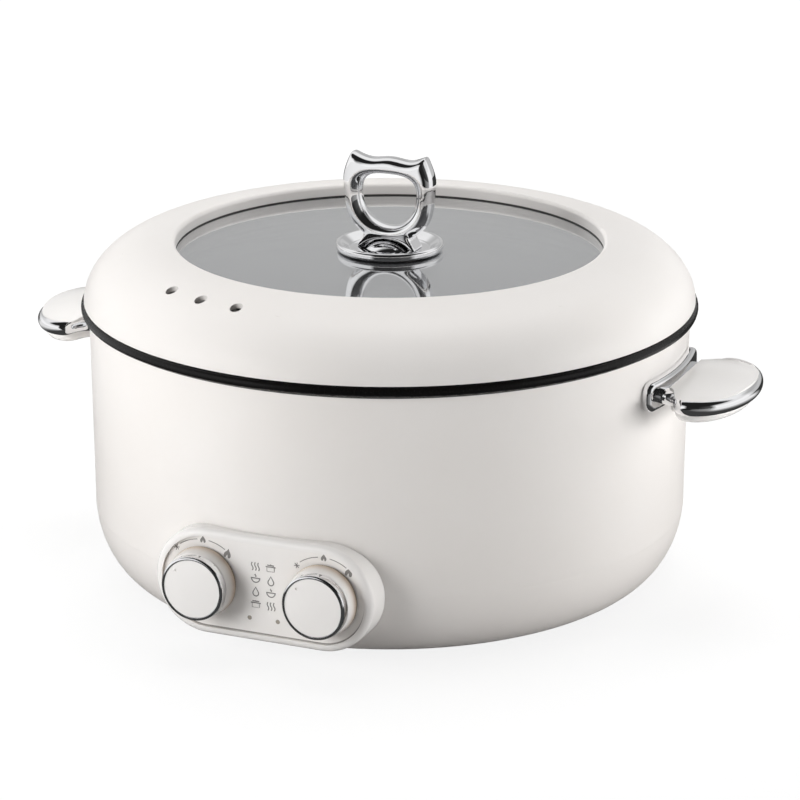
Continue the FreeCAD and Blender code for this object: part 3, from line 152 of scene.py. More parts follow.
# %% A tree and its nodes
class Shading:
    """A shader tree that is built node by node."""

    def __init__(self, owner, output_kind):
        owner.use_nodes = True
        self.tree = owner.node_tree
        self.tree.nodes.clear()
        self.output = self.tree.nodes.new(output_kind)

    def add(self, kind, settings=None, sockets=None):
        """A node of a kind, with its settings and then its sockets' values or links."""
        node = self.tree.nodes.new(kind)
        for name, value in (settings or {}).items():
            if name == "stops":
                for step, (place, colour) in enumerate(value):
                    ramp = node.color_ramp.elements
                    stop = ramp[step] if step < len(ramp) else ramp.new(place)
                    stop.position = place
                    stop.color = colour
            else:
                setattr(node, name, value)
        for name, value in (sockets or {}).items():
            source = value.socket if isinstance(value, Field) else value
            if isinstance(source, bpy.types.NodeSocket):
                self.tree.links.new(source, node.inputs[name])
            else:
                node.inputs[name].default_value = source
        return node

    def maths(self, operation, *values):
        """One Math node over one or two values."""
        node = self.add("ShaderNodeMath", {"operation": operation}, dict(enumerate(values)))
        return Field(self, node.outputs[0])

    def place(self, stretch=(1, 1, 1)):
        """Object coordinates in metres, stretched where a pattern needs it."""
        sockets = {"Vector": self.add("ShaderNodeTexCoord").outputs["Object"], "Scale": stretch}
        return self.add("ShaderNodeMapping", {"vector_type": "POINT"}, sockets).outputs[0]

    def noise(self, size, detail=3.0, roughness=0.5, place=None):
        """Soft noise whose blotches are about as large as size, in metres."""
        sockets = {"Vector": place or self.place(), "Scale": 1 / size}
        sockets.update({"Detail": detail, "Roughness": roughness})
        return Field(self, self.add("ShaderNodeTexNoise", {}, sockets).outputs[0])

    def cells(self, size):
        """Distance to the nearest of many scattered points, size apart."""
        sockets = {"Vector": self.place(), "Scale": 1 / size}
        node = self.add("ShaderNodeTexVoronoi", {"feature": "F1"}, sockets)
        return Field(self, node.outputs["Distance"])

    def axis(self, name, place=None):
        """One coordinate of a place, such as Z for height."""
        node = self.add("ShaderNodeSeparateXYZ", {}, {0: place or self.place()})
        return Field(self, node.outputs[name])

    def apart(self, across, along):
        """The length of a step given by its two parts."""
        return (across * across + along * along) ** 0.5

    def curve(self, value, stops):
        """A value through a list of steps: places between 0 and 1 and the brightness at each."""
        greys = [(place, (level, level, level, 1)) for place, level in stops]
        ramp = self.add("ShaderNodeValToRGB", {"stops": greys}, {0: value})
        return Field(self, ramp.outputs[0])

    def round_the_pot(self, x, y, stops):
        """A brightness that depends on the azimuth alone, from stops in degrees."""
        turns = self.maths("ARCTAN2", x, y * -1) / (2 * math.pi) + 0.5
        return self.curve(turns, [((azimuth + 180) / 360, level) for azimuth, level in stops])

    def ray(self, *kinds):
        """1 for the kinds of ray that are named, such as Camera, and 0 for all the others."""
        path = self.add("ShaderNodeLightPath")
        total = Field(self, path.outputs["Is " + kinds[0] + " Ray"])
        for kind in kinds[1:]:
            total = total + Field(self, path.outputs["Is " + kind + " Ray"])
        return total > 0.5

    def mix(self, share, first, second):
        """A colour between two colours."""
        node = self.tree.nodes.new("ShaderNodeMix")
        node.data_type = "RGBA"
        for name, value in (("Factor", share), ("A", first), ("B", second)):
            kind = "VALUE" if name == "Factor" else "RGBA"
            socket = next(s for s in node.inputs if s.name == name and s.type == kind)
            source = value.socket if isinstance(value, Field) else value
            if isinstance(source, bpy.types.NodeSocket):
                self.tree.links.new(source, socket)
            else:
                socket.default_value = source
        return next(s for s in node.outputs if s.type == "RGBA")

    def bump(self, height, depth):
        """A normal from a height field; depth is the height, in metres, of a field of 1."""
        return self.add("ShaderNodeBump", {}, {"Height": height, "Distance": depth}).outputs[0]

    def surface(self, **sockets):
        """The one shader of a solid finish; a name such as Base_Color is the socket Base Color."""
        named = {name.replace("_", " "): value for name, value in sockets.items()}
        self.show(self.add("ShaderNodeBsdfPrincipled", {}, named))

    def show(self, node):
        """Sends a node's shader to the tree's output."""
        self.tree.links.new(node.outputs[0], self.output.inputs["Surface"])


class Finish(Shading):
    """A material."""

    def __init__(self, name):
        self.material = bpy.data.materials.new(name)
        super().__init__(self.material, "ShaderNodeOutputMaterial")


print("finishes are ready to be mixed")

# %% [markdown]
# Most of the pot is moulded gloss plastic in a warm near-white. A real moulding is never one
# flat colour: it has a breath of warmer and cooler tone, a gloss that is a little uneven, and a
# fine orange-peel skin that only shows in reflections. Three noises at three scales make these.
# The skin is a bump and not real geometry, because it is a few microns deep.

# %% Moulded plastics
CLOUD_SIZE = 90 * MM
FLECK_SIZE = 3.5 * MM
SKIN_SIZE = 1.6 * MM
SKIN_DEPTH = 0.012 * MM
COAT_WEIGHT = 0.25
COAT_ROUGHNESS = 0.12


def moulding(finish, colour, roughness, coat=0.0, skin=SKIN_SIZE, depth=SKIN_DEPTH):
    """The shader of a moulding: a colour and a gloss over an orange-peel skin."""
    finish.surface(
        Base_Color=colour,
        Roughness=roughness,
        Normal=finish.bump(finish.noise(skin, 2.0, 0.45), depth),
        Coat_Weight=coat,
        Coat_Roughness=COAT_ROUGHNESS,
    )
    return finish.material


def uneven(finish, gloss):
    """A roughness that flecks make a little uneven."""
    return gloss + (finish.noise(FLECK_SIZE, 2.0, 0.6) - 0.5) * 0.06


def moulded(name, light, warm, gloss, skin=SKIN_SIZE, depth=SKIN_DEPTH, coat=0.0):
    """Glossy moulded plastic between two near tones."""
    finish = Finish(name)
    tone = finish.noise(CLOUD_SIZE, 4.0, 0.55).between(0.3, 0.7)
    colour = finish.mix(tone, (*light, 1), (*warm, 1))
    return moulding(finish, colour, uneven(finish, gloss) + tone * 0.02, coat, skin, depth)


cream_housing = moulded("cream_housing", (0.885, 0.856, 0.829), (0.872, 0.838, 0.806), 0.34)
cream_lid = moulded("cream_lid", (0.890, 0.862, 0.836), (0.878, 0.846, 0.816), 0.36)
cream_trim = moulded(
    "cream_trim", (0.925, 0.905, 0.885), (0.912, 0.888, 0.865), 0.24, coat=COAT_WEIGHT)
grey_plastic = moulded(
    "grey_plastic", (0.52, 0.515, 0.50), (0.48, 0.475, 0.46), 0.5, 0.7 * MM, 0.04 * MM)
dark_plastic = moulded(
    "dark_plastic", (0.030, 0.030, 0.031), (0.040, 0.039, 0.038), 0.42, 0.5 * MM, 0.03 * MM)
plastics = (cream_housing, cream_lid, cream_trim, grey_plastic, dark_plastic)
print("plastics:", [plastic.name for plastic in plastics])

# %% [markdown]
# Three pieces have painted shade of their own in the cream. Where the panel's face meets the pod
# there is a gap too thin to model as air, and its shade is painted as a dark line round the face,
# darkest along its lower half. The skirt of each knob is a paler cream, with painted warm brown
# shade towards its base and a darker painted shadow line where it meets the panel. The walls of
# the lid's vents have painted dark brown shade, darker further down. All three are drawn from the
# distance to a named line of the part. Most such lines come from the part's own box, so that they
# follow if it changes, and the vents' places are given beside them.

# %% Panel face, knob skirts and vents
face_low, face_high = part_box("control_face")
FACE_RADIUS = (face_high.z - face_low.z) / 2
FACE_MIDDLE = (face_high.z + face_low.z) / 2
FACE_STRAIGHT = (face_high.x - face_low.x) / 2 - FACE_RADIUS
# A painted shade line round the face's edge: where it starts and where it is full, in from the edge, then how dark
# it is at the top and how much darker it gets lower down.
SHADE_START, SHADE_FULL = 0.9 * MM, 0.1 * MM
SHADE_LEAST, SHADE_GAIN = 0.12, 0.75
SKIRT_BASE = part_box("left_knob_body")[1].y
# Painted warm shade on each knob's skirt: how far up from its base it reaches, then where the dark painted shadow
# line at the base starts and where it is full.
SKIRT_SHADE_REACH = 9.0 * MM
SKIRT_SHADOW_LINE_START, SKIRT_SHADOW_LINE_FULL = 0.9 * MM, 0.3 * MM
LID_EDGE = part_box("lid_ring")[1].x
LID_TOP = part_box("lid_ring")[1].z
VENT_INSET = 21.6 * MM
VENT_CIRCLE = LID_EDGE - VENT_INSET
VENT_ANGLES = (-28.7, -19.4, -9.9)
VENT_RADIUS = 3.2 * MM
# Painted shade on the vents' walls: how far below the lid's top it reaches full darkness, the slack round each
# vent, and how faint it is at the top.
VENT_SHADE_DEPTH = 12.0 * MM
VENT_SLACK = 0.05 * MM
VENT_SHADE_LEAST = 0.12


def panel_face(name):
    """Cream with a painted shade line round the edge of the face, darker along its lower half."""
    finish = Finish(name)
    across, rise = finish.axis("X"), finish.axis("Z") - FACE_MIDDLE
    beyond = finish.maths("MAXIMUM", finish.maths("ABSOLUTE", across) - FACE_STRAIGHT, 0)
    from_middle = finish.apart(beyond, rise)
    # Painted shade where the face meets the pod, darker along the lower half.
    shade = from_middle.between(FACE_RADIUS - SHADE_START, FACE_RADIUS - SHADE_FULL)
    painted_shade_weight = SHADE_LEAST + (rise / FACE_RADIUS * -1).between(-0.8, 0.2) * SHADE_GAIN
    tone = finish.noise(50 * MM, 4.0, 0.55)
    cream = finish.mix(tone, (0.925, 0.902, 0.880, 1), (0.912, 0.886, 0.860, 1))
    colour = finish.mix(shade * painted_shade_weight, cream, (0.13, 0.118, 0.110, 1))
    return moulding(finish, colour, uneven(finish, 0.26), COAT_WEIGHT)


def knob_skirt(name):
    """Cream with painted warm brown shade towards its base, and a dark painted shadow line at the panel."""
    finish = Finish(name)
    depth = finish.axis("Y")
    # Painted shade: warm brown towards the skirt's base, and a dark painted shadow line right at the panel.
    warm = depth.between(SKIRT_BASE - SKIRT_SHADE_REACH, SKIRT_BASE)
    line = depth.between(SKIRT_BASE - SKIRT_SHADOW_LINE_START, SKIRT_BASE - SKIRT_SHADOW_LINE_FULL)
    cloud = finish.noise(6 * MM, 3.0, 0.5)
    cream = finish.mix(cloud, (0.915, 0.892, 0.870, 1), (0.900, 0.874, 0.848, 1))
    glow = finish.mix(warm ** 2.0 * 0.85, cream, (0.60, 0.45, 0.31, 1))
    colour = finish.mix(line * 0.85, glow, (0.20, 0.12, 0.055, 1))
    roughness = 0.22 + (cloud - 0.5) * 0.05
    return moulding(finish, colour, roughness, COAT_WEIGHT, depth=0.01 * MM)


def vented_lid(name):
    """Cream with painted shade on the walls of the vents, darker further down."""
    finish = Finish(name)
    x, y, z = (finish.axis(way) for way in "XYZ")
    # Painted shade inside the vents, darker further down.
    glass_film_and_painted_vent_shade = 0
    for angle in VENT_ANGLES:
        turn = math.radians(angle)
        apart = finish.apart(x - VENT_CIRCLE * math.sin(turn), y + VENT_CIRCLE * math.cos(turn))
        glass_film_and_painted_vent_shade = (apart < VENT_RADIUS + VENT_SLACK) + glass_film_and_painted_vent_shade
    painted_shade_deeper = (LID_TOP - z).between(VENT_SHADE_DEPTH * 0.4, VENT_SHADE_DEPTH)
    glass_film_and_painted_vent_shade = glass_film_and_painted_vent_shade * (VENT_SHADE_LEAST + painted_shade_deeper * (1 - VENT_SHADE_LEAST))
    tone = finish.noise(CLOUD_SIZE, 4.0, 0.55).between(0.3, 0.7)
    cream = finish.mix(tone, (0.872, 0.845, 0.820, 1), (0.860, 0.829, 0.800, 1))
    colour = finish.mix(glass_film_and_painted_vent_shade, cream, (0.035, 0.022, 0.014, 1))
    return moulding(finish, colour, uneven(finish, 0.36) + tone * 0.02)


face_finish = panel_face("panel_face")
skirt_finish = knob_skirt("knob_skirt")
lid_finish = vented_lid("vented_lid")
print("marks on:", face_finish.name, skirt_finish.name, lid_finish.name)

# %% [markdown]
# The handles and the knob rings are bright chrome. Chrome has almost no colour of its own: it
# shows the studio. What makes it look plated rather than computed is a very slight haze that
# comes and goes, and a surface that isn't perfectly true, so that long reflections waver.

# %% Chrome
def plated(name, colour, worn, haze, waver):
    """Bright plating with a faint haze and slow waves."""
    finish = Finish(name)
    cloud = finish.noise(18 * MM, 3.0, 0.55).between(0.35, 0.75)
    wipe = finish.noise(4 * MM, 2.0, 0.5, finish.place(stretch=(1.0, 1.0, 0.25)))
    wave = finish.noise(11 * MM, 1.0, 0.4)
    finish.surface(
        Base_Color=finish.mix(cloud, colour, worn),
        Metallic=1.0,
        Roughness=haze + cloud * 0.02 + (wipe - 0.5) * 0.015,
        Normal=finish.bump(wave, waver),
    )
    return finish.material


chrome = plated("chrome", (0.90, 0.90, 0.91, 1), (0.86, 0.86, 0.87, 1), 0.035, 0.03 * MM)
brass = plated("brass", (0.78, 0.60, 0.30, 1), (0.66, 0.48, 0.24, 1), 0.16, 0.02 * MM)
print("plated:", chrome.name, brass.name)

# %% [markdown]
# Hidden steel, such as the bracket, the screws and the posts, is drawn or stamped: fine lines run
# one way, and the gloss is broken up along them. Stretching a noise much more along one axis than
# the others makes the lines. The heating tubes are the same steel after many hours of heat, with
# brown and blue blooms, so they get a colour ramp over a slow noise.

# %% Steels
def drawn(name, bright, dull, gloss, stretch):
    """Steel with fine lines along one axis."""
    finish = Finish(name)
    lines = finish.noise(0.9 * MM, 3.0, 0.6, finish.place(stretch=stretch))
    stain = finish.noise(20 * MM, 4.0, 0.6).between(0.35, 0.8)
    finish.surface(
        Base_Color=finish.mix(lines * 0.5 + stain * 0.4, bright, dull),
        Metallic=1.0,
        Roughness=gloss + lines * 0.12 + stain * 0.08,
        Normal=finish.bump(lines, 0.01 * MM),
    )
    return finish.material


def heated(name):
    """Steel tube that has been red hot many times."""
    finish = Finish(name)
    bloom = finish.noise(30 * MM, 5.0, 0.6)
    stops = [
        (0.30, (0.30, 0.28, 0.27, 1)), (0.48, (0.34, 0.24, 0.16, 1)),
        (0.60, (0.20, 0.20, 0.24, 1)), (0.75, (0.12, 0.11, 0.11, 1)),
    ]
    ramp = finish.add("ShaderNodeValToRGB", {"stops": stops}, {0: bloom})
    scale = finish.cells(2 * MM)
    finish.surface(
        Base_Color=ramp.outputs[0],
        Metallic=0.9,
        Roughness=0.45 + bloom * 0.2,
        Normal=finish.bump(scale, 0.03 * MM),
    )
    return finish.material


steel = drawn("steel", (0.66, 0.66, 0.67, 1), (0.50, 0.50, 0.51, 1), 0.26, (1, 1, 0.05))
shield = drawn("shield", (0.78, 0.78, 0.79, 1), (0.66, 0.66, 0.67, 1), 0.30, (0.06, 1, 1))
element = heated("element")
print("steels:", steel.name, shield.name, element.name)

# %% [markdown]
# The pan is aluminium under a dark non-stick coat. Inside it is satin with a fine mica fleck.
# The rolled rim, which stands out as the dark line between the lid and the drum, has the same
# coat drawn tight over the roll: it is a deeper, smoother black. A thin paler line low down on it
# is a painted highlight. Height tells the two apart: above the drum's edge the flecks
# fade and the coat darkens. That keeps one finish for one piece, as on the real pan.

# %% Non-stick coat
RIM_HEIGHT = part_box("pan")[1].z
RIM_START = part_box("outer_housing")[1].z
# Where the painted highlight line low on the rim fades out, just above the drum's edge.
PAINTED_HIGHLIGHT_START, PAINTED_HIGHLIGHT_END = RIM_START + 0.2 * MM, RIM_START + 0.9 * MM
FLECK_SPACING = 1.1 * MM
FLECK_REACH = 0.16


def non_stick_coat(name):
    """Dark satin with flecks inside the pan, deeper and smoother on its rim, with a painted highlight line low on
    it.
    """
    finish = Finish(name)
    rise = finish.axis("Z")
    rim = rise.between(RIM_START - 2 * MM, RIM_START + 1 * MM)
    mica = (finish.cells(FLECK_SPACING) < FLECK_REACH) * (1 - rim)
    cloud = finish.noise(25 * MM, 4.0, 0.55)
    grain = finish.noise(0.6 * MM, 2.0, 0.6)
    coat = finish.mix(cloud, (0.020, 0.018, 0.017, 1), (0.034, 0.030, 0.028, 1))
    dark = finish.mix(rim, coat, (0.005, 0.0045, 0.0045, 1))
    # Painted highlight: a thin paler line low on the rim.
    line = (1 - rise.between(PAINTED_HIGHLIGHT_START, PAINTED_HIGHLIGHT_END)) * rim
    edge = finish.mix(line, dark, (0.12, 0.10, 0.09, 1))
    finish.surface(
        Base_Color=finish.mix(mica * 0.55, edge, (0.30, 0.28, 0.26, 1)),
        Roughness=0.42 - rim * 0.16 + (grain - 0.5) * 0.10,
        Normal=finish.bump(grain * (1 - rim * 0.8), 0.02 * MM),
        Specular_IOR_Level=0.5 - rim * 0.3,
    )
    return finish.material


non_stick = non_stick_coat("non_stick")
print("coat on a rim from", round(RIM_START, 4), "to", round(RIM_HEIGHT, 4))

# %% [markdown]
# Rubber and silicone scatter light at the skin and hold dust, so they are rough with a pale bloom
# on a dark ground. The wires' sleeves are silicone too, in red-brown, with the weave of the glass
# braid just showing.

# %% Rubbers
def rubbery(name, dark, bloom, gloss, weave=0.6 * MM):
    """Matt rubber with a pale bloom of dust over a fine grain."""
    finish = Finish(name)
    dust = finish.noise(6 * MM, 5.0, 0.65).between(0.45, 0.85)
    grain = finish.cells(weave)
    finish.surface(
        Base_Color=finish.mix(dust * 0.6, dark, bloom),
        Roughness=gloss + dust * 0.12,
        Normal=finish.bump(grain, 0.04 * MM),
    )
    return finish.material


dark_rubber = rubbery("dark_rubber", (0.022, 0.022, 0.022, 1), (0.075, 0.073, 0.070, 1), 0.66)
seal_rubber = rubbery("seal_rubber", (0.045, 0.042, 0.040, 1), (0.085, 0.080, 0.076, 1), 0.50)
lead_sleeve = rubbery("lead_sleeve", (0.42, 0.10, 0.065, 1), (0.50, 0.20, 0.15, 1), 0.55, 1.2 * MM)
print("rubbers:", dark_rubber.name, seal_rubber.name, lead_sleeve.name)

# %% [markdown]
# The small circuit board is green lacquer over copper tracks, and the two lamp lenses are smoky
# plastic, unlit. The tracks are a brick pattern: long thin bricks whose joints read as copper.

# %% Board and lenses
def lacquered_board(name):
    """Green lacquer over copper tracks."""
    finish = Finish(name)
    sockets = {"Vector": finish.place(), "Scale": 160.0}
    sockets.update({"Mortar Size": 0.03, "Brick Width": 0.9, "Row Height": 0.18})
    tracks = Field(finish, finish.add("ShaderNodeTexBrick", {}, sockets).outputs["Fac"])
    cloud = finish.noise(4 * MM, 3.0, 0.5)
    lacquer = finish.mix(cloud, (0.025, 0.12, 0.05, 1), (0.04, 0.17, 0.07, 1))
    finish.surface(
        Base_Color=finish.mix(tracks, lacquer, (0.22, 0.30, 0.10, 1)),
        Roughness=0.25 + cloud * 0.1,
        Normal=finish.bump(tracks, 0.03 * MM),
    )
    return finish.material


def lamp_lens(name):
    """Smoky plastic with fine ribs."""
    finish = Finish(name)
    ribs = finish.cells(0.5 * MM)
    depth = finish.noise(1.2 * MM, 2.0, 0.5)
    finish.surface(
        Base_Color=finish.mix(depth, (0.30, 0.27, 0.23, 1), (0.46, 0.42, 0.36, 1)),
        Roughness=0.16 + depth * 0.06,
        Normal=finish.bump(ribs, 0.02 * MM),
    )
    return finish.material


board = lacquered_board("board")
lens = lamp_lens("lens")
print("board and lens:", board.name, lens.name)

# %% [markdown]
# The lid's pane is toughened glass with a grey tint. Seen from low down a pane turns into a
# mirror, and from above it is a window, so the share that reflects follows the angle between the
# surface and the eye, which Layer Weight gives. The window part is a tinted film: mostly clear,
# with a little grey of its own. Full refraction would leave the food in the dark, because lamps
# don't reach through refracting glass, and a flat 4 mm pane hardly bends a view anyway.

# %% Lid glass
MIRROR_LEAST, MIRROR_GAIN, MIRROR_BEND = 0.06, 0.92, 1.2
FILM_OPACITY = 0.38


def tinted_glass(name):
    """A grey tint seen square on, which turns into a mirror at low angles."""
    finish = Finish(name)
    smear = finish.noise(30 * MM, 4.0, 0.6).between(0.4, 0.8)
    wave = finish.noise(50 * MM, 1.0, 0.4)
    true_surface = finish.bump(wave, 0.02 * MM)
    weight = finish.add("ShaderNodeLayerWeight", {}, {"Blend": 0.5})
    facing = Field(finish, weight.outputs["Facing"])
    mirror_share = MIRROR_LEAST + facing ** MIRROR_BEND * MIRROR_GAIN
    glass_film_and_painted_vent_shade = finish.add("ShaderNodeBsdfPrincipled", {}, {
        "Base Color": finish.mix(smear, (0.24, 0.24, 0.25, 1), (0.28, 0.28, 0.29, 1)),
        "Roughness": 0.12 + smear * 0.05,
        "Alpha": FILM_OPACITY + smear * 0.04,
        "Normal": true_surface,
    })
    mirror = finish.add("ShaderNodeBsdfPrincipled", {}, {
        "Base Color": (0.93, 0.94, 0.95, 1),
        "Metallic": 1.0,
        "Roughness": 0.012 + smear * 0.01,
        "Normal": true_surface,
    })
    parts = {0: mirror_share, 1: glass_film_and_painted_vent_shade.outputs[0], 2: mirror.outputs[0]}
    finish.show(finish.add("ShaderNodeMixShader", {}, parts))
    return finish.material


lid_glass = tinted_glass("lid_glass")
print("glass:", lid_glass.name)

# %% [markdown]
# Each part's material slot is named in the record, so one loop dresses all of them. A finish is
# put into the part's own slot, and its mesh is left alone.

# %% Dress the parts
finishes = {
    "cream_housing": cream_housing, "cream_lid": cream_lid, "cream_trim": cream_trim,
    "chrome": chrome, "brass": brass, "steel": steel, "shield": shield, "element": element,
    "non_stick": non_stick, "dark_plastic": dark_plastic, "grey_plastic": grey_plastic,
    "board": board, "lens": lens, "dark_rubber": dark_rubber, "seal_rubber": seal_rubber,
    "lead_sleeve": lead_sleeve, "lid_glass": lid_glass,
}
special = {
    "control_face": face_finish, "lid_ring": lid_finish,
    "left_knob_body": skirt_finish, "right_knob_body": skirt_finish,
}
for subpart in frame["record"]["subparts"]:
    part = frame["nodes"][subpart["node"]]
    part.data.materials.clear()
    part.data.materials.append(special.get(subpart["node"], finishes[subpart["material_slot"]]))

# %% [markdown]
# The lid's handle is cast in zinc and polished before it is plated, and the wheel takes every edge
# down to a soft round, so that reflections run over it in long bands. Fillets in the CAD model keep
# the exact size; this skin gives the polish. The part's copy is welded, turned into an even fine
# mesh, and relaxed until the edges are as soft as polishing leaves them. Relaxing also shrinks it
# by about a millimetre, so it is drawn back to the part's own height.

# %% Polished lid handle
POLISH_GRAIN = 0.45 * MM
POLISH_ROUNDS = 36
WELD_DISTANCE = 0.001 * MM


def polished(node, grain, rounds):
    """A softer copy of a part, with a mesh of even grain, as a plain mesh at the origin."""
    shape = bmesh.new()
    shape.from_mesh(frame["nodes"][node].data)
    bmesh.ops.remove_doubles(shape, verts=shape.verts, dist=WELD_DISTANCE)
    mesh = bpy.data.meshes.new(node + "_rough")
    shape.to_mesh(mesh)
    shape.free()
    rough = bpy.data.objects.new(node + "_rough", mesh)
    bpy.context.scene.collection.objects.link(rough)
    remesh = rough.modifiers.new("grain", "REMESH")
    remesh.mode = "VOXEL"
    remesh.voxel_size = grain
    remesh.use_smooth_shade = True
    relax = rough.modifiers.new("relax", "SMOOTH")
    relax.factor = 0.5
    relax.iterations = rounds
    evaluated = rough.evaluated_get(bpy.context.evaluated_depsgraph_get())
    skin = bpy.data.meshes.new_from_object(evaluated)
    bpy.data.objects.remove(rough)
    cad_low, cad_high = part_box(node)
    low = min(vertex.co.z for vertex in skin.vertices)
    high = max(vertex.co.z for vertex in skin.vertices)
    for vertex in skin.vertices:
        vertex.co.z = cad_low.z + (vertex.co.z - low) * (cad_high.z - cad_low.z) / (high - low)
    piece = bpy.data.objects.new(node + "_polished", skin)
    bpy.context.scene.collection.objects.link(piece)
    return piece


lid_grip = polished("lid_handle", POLISH_GRAIN, POLISH_ROUNDS)
lid_grip.data.materials.clear()
lid_grip.data.materials.append(chrome)
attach(lid_grip, "lid")
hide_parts("lid_handle")
print("lid handle:", len(lid_grip.data.polygons), "faces")

# %% [markdown]
# The panel is printed in grey round each knob: an arc with an off mark at its left end, a small
# flame at the top and a large flame at its right end. Ink has almost no thickness, so the print
# is a skin of a twentieth of a millimetre that stands on the panel's face. The lines are drawn
# as curves first, and a small tree of Geometry Nodes sweeps one flat section along all of them:
# change the line width there, and every line follows.

# %% Ink
def printed_ink(name):
    """Grey ink, a little uneven."""
    finish = Finish(name)
    patch = finish.noise(1.2 * MM, 3.0, 0.6)
    finish.surface(
        Base_Color=finish.mix(patch, (0.22, 0.21, 0.20, 1), (0.29, 0.28, 0.27, 1)),
        Roughness=0.38 + patch * 0.1,
    )
    return finish.material


ink = printed_ink("ink")
FACE_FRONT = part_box("control_face")[0].y
INK_HEIGHT = 0.05 * MM
LINE_WIDTH = 0.55 * MM
SCALE_LINE_WIDTH = LINE_WIDTH * 0.75
SCALE_RADIUS = 21.4 * MM
knob_joints = [joint for joint in frame["joints"] if joint["name"].endswith("knob_turn")]
knob_centres = [joint["pos_m"] for joint in knob_joints]
print("panel face at y", round(FACE_FRONT, 4))
print("knobs at", [[round(c, 4) for c in centre] for centre in knob_centres])


# %% A tree that sweeps a flat line along curves
def flat_line_tree():
    """Geometry Nodes: curves in, thin flat bars out, with the width and height as inputs."""
    tree = bpy.data.node_groups.new("flat_line", "GeometryNodeTree")
    tree.interface.new_socket("Geometry", in_out="INPUT", socket_type="NodeSocketGeometry")
    for name in ("Line Width", "Line Height"):
        tree.interface.new_socket(name, in_out="INPUT", socket_type="NodeSocketFloat")
    tree.interface.new_socket("Ink", in_out="INPUT", socket_type="NodeSocketMaterial")
    tree.interface.new_socket("Geometry", in_out="OUTPUT", socket_type="NodeSocketGeometry")
    made = {}
    for kind in (
        "NodeGroupInput", "GeometryNodeCurvePrimitiveQuadrilateral", "GeometryNodeCurveToMesh",
        "GeometryNodeRealizeInstances", "GeometryNodeSetMaterial", "NodeGroupOutput",
    ):
        made[kind] = tree.nodes.new(kind)
    inputs, section, sweep, real, dress, output = made.values()
    section.mode = "RECTANGLE"
    sweep.inputs["Fill Caps"].default_value = True
    links = tree.links.new
    links(inputs.outputs["Line Height"], section.inputs["Width"])
    links(inputs.outputs["Line Width"], section.inputs["Height"])
    links(inputs.outputs["Geometry"], sweep.inputs["Curve"])
    links(section.outputs["Curve"], sweep.inputs["Profile Curve"])
    links(sweep.outputs["Mesh"], real.inputs["Geometry"])
    links(real.outputs["Geometry"], dress.inputs["Geometry"])
    links(inputs.outputs["Ink"], dress.inputs["Material"])
    links(dress.outputs["Geometry"], output.inputs["Geometry"])
    return tree


flat_line = flat_line_tree()
print("tree:", flat_line.name, "with", len(flat_line.nodes), "nodes")

# %% [markdown]
# Everything printed is drawn in the panel's own plane: x to the right and z up, in millimetres
# from a knob's middle or the panel's middle. One helper turns such points into a curve on the
# face, and the marks are lists of these strokes.

# %% Strokes of the print
def arc_points(radius, first, last, steps=20):
    """Points of an arc about a knob's middle; 0 degrees is straight up, and positive is right."""
    points = []
    for step in range(steps + 1):
        angle = math.radians(first + (last - first) * step / steps)
        points.append((radius * math.sin(angle), radius * math.cos(angle)))
    return points


def around_middle(points, middle, size=1.0, angle=0.0):
    """Points in millimetres, scaled, turned clockwise and moved to a middle on the panel."""
    turn = math.radians(angle)
    moved = []
    for x, z in points:
        across = (x * math.cos(turn) + z * math.sin(turn)) * size * MM
        rise = (z * math.cos(turn) - x * math.sin(turn)) * size * MM
        moved.append((middle[0] + across, middle[2] + rise))
    return moved


def curves_on_face(name, strokes):
    """One curve object that holds every stroke, half an ink's height in front of the face."""
    data = bpy.data.curves.new(name, "CURVE")
    data.dimensions = "3D"
    for stroke in strokes:
        spline = data.splines.new("POLY")
        spline.points.add(len(stroke) - 1)
        for point, (x, z) in zip(spline.points, stroke):
            point.co = (x, FACE_FRONT - INK_HEIGHT / 2, z, 1)
    drawn_curve = bpy.data.objects.new(name, data)
    bpy.context.scene.collection.objects.link(drawn_curve)
    return drawn_curve


def swept(drawn_curve, width, material):
    """The plain mesh of a curve object under the flat line tree."""
    modifier = drawn_curve.modifiers.new("flat_line", "NODES")
    modifier.node_group = flat_line
    values = {"Line Width": width, "Line Height": INK_HEIGHT, "Ink": material}
    for item in flat_line.interface.items_tree:
        if item.name in values:
            modifier[item.identifier] = values[item.name]
    evaluated = drawn_curve.evaluated_get(bpy.context.evaluated_depsgraph_get())
    mesh = bpy.data.meshes.new_from_object(evaluated)
    name = drawn_curve.name
    bpy.data.objects.remove(drawn_curve)
    piece = bpy.data.objects.new(name + "_print", mesh)
    bpy.context.scene.collection.objects.link(piece)
    return piece


OFF_MARK = [[(-1.3, 0.9), (1.3, -0.9)], [(-1.3, -0.9), (1.3, 0.9)], [(0, 1.6), (0, -1.6)]]
OFF_MARK_PLACE = (-14.3, 15.3)
OFF_MARK_SIZE, OFF_MARK_TURN = 0.95, -43.5
SCALE_ARCS = ((-36.0, -8.0), (8.5, 34.0))
scale_strokes = []
for middle in knob_centres:
    for first, last in SCALE_ARCS:
        scale_strokes.append(around_middle(arc_points(SCALE_RADIUS / MM, first, last), middle))
    across, rise = around_middle([OFF_MARK_PLACE], middle)[0]
    for stroke in OFF_MARK:
        spot = (across, 0, rise)
        scale_strokes.append(around_middle(stroke, spot, OFF_MARK_SIZE, OFF_MARK_TURN))
scales = swept(curves_on_face("scales", scale_strokes), SCALE_LINE_WIDTH, ink)
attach(scales, "pot")
print("scales:", len(scales.data.polygons), "faces")

# %% [markdown]
# The flames are filled shapes. A flame's outline is a drop with a leaning tip and a notch, which
# a few points and their mirror don't give, so its points are listed once, filled, and given the
# ink's thickness. The large flame is the same outline scaled up and set a little further in.

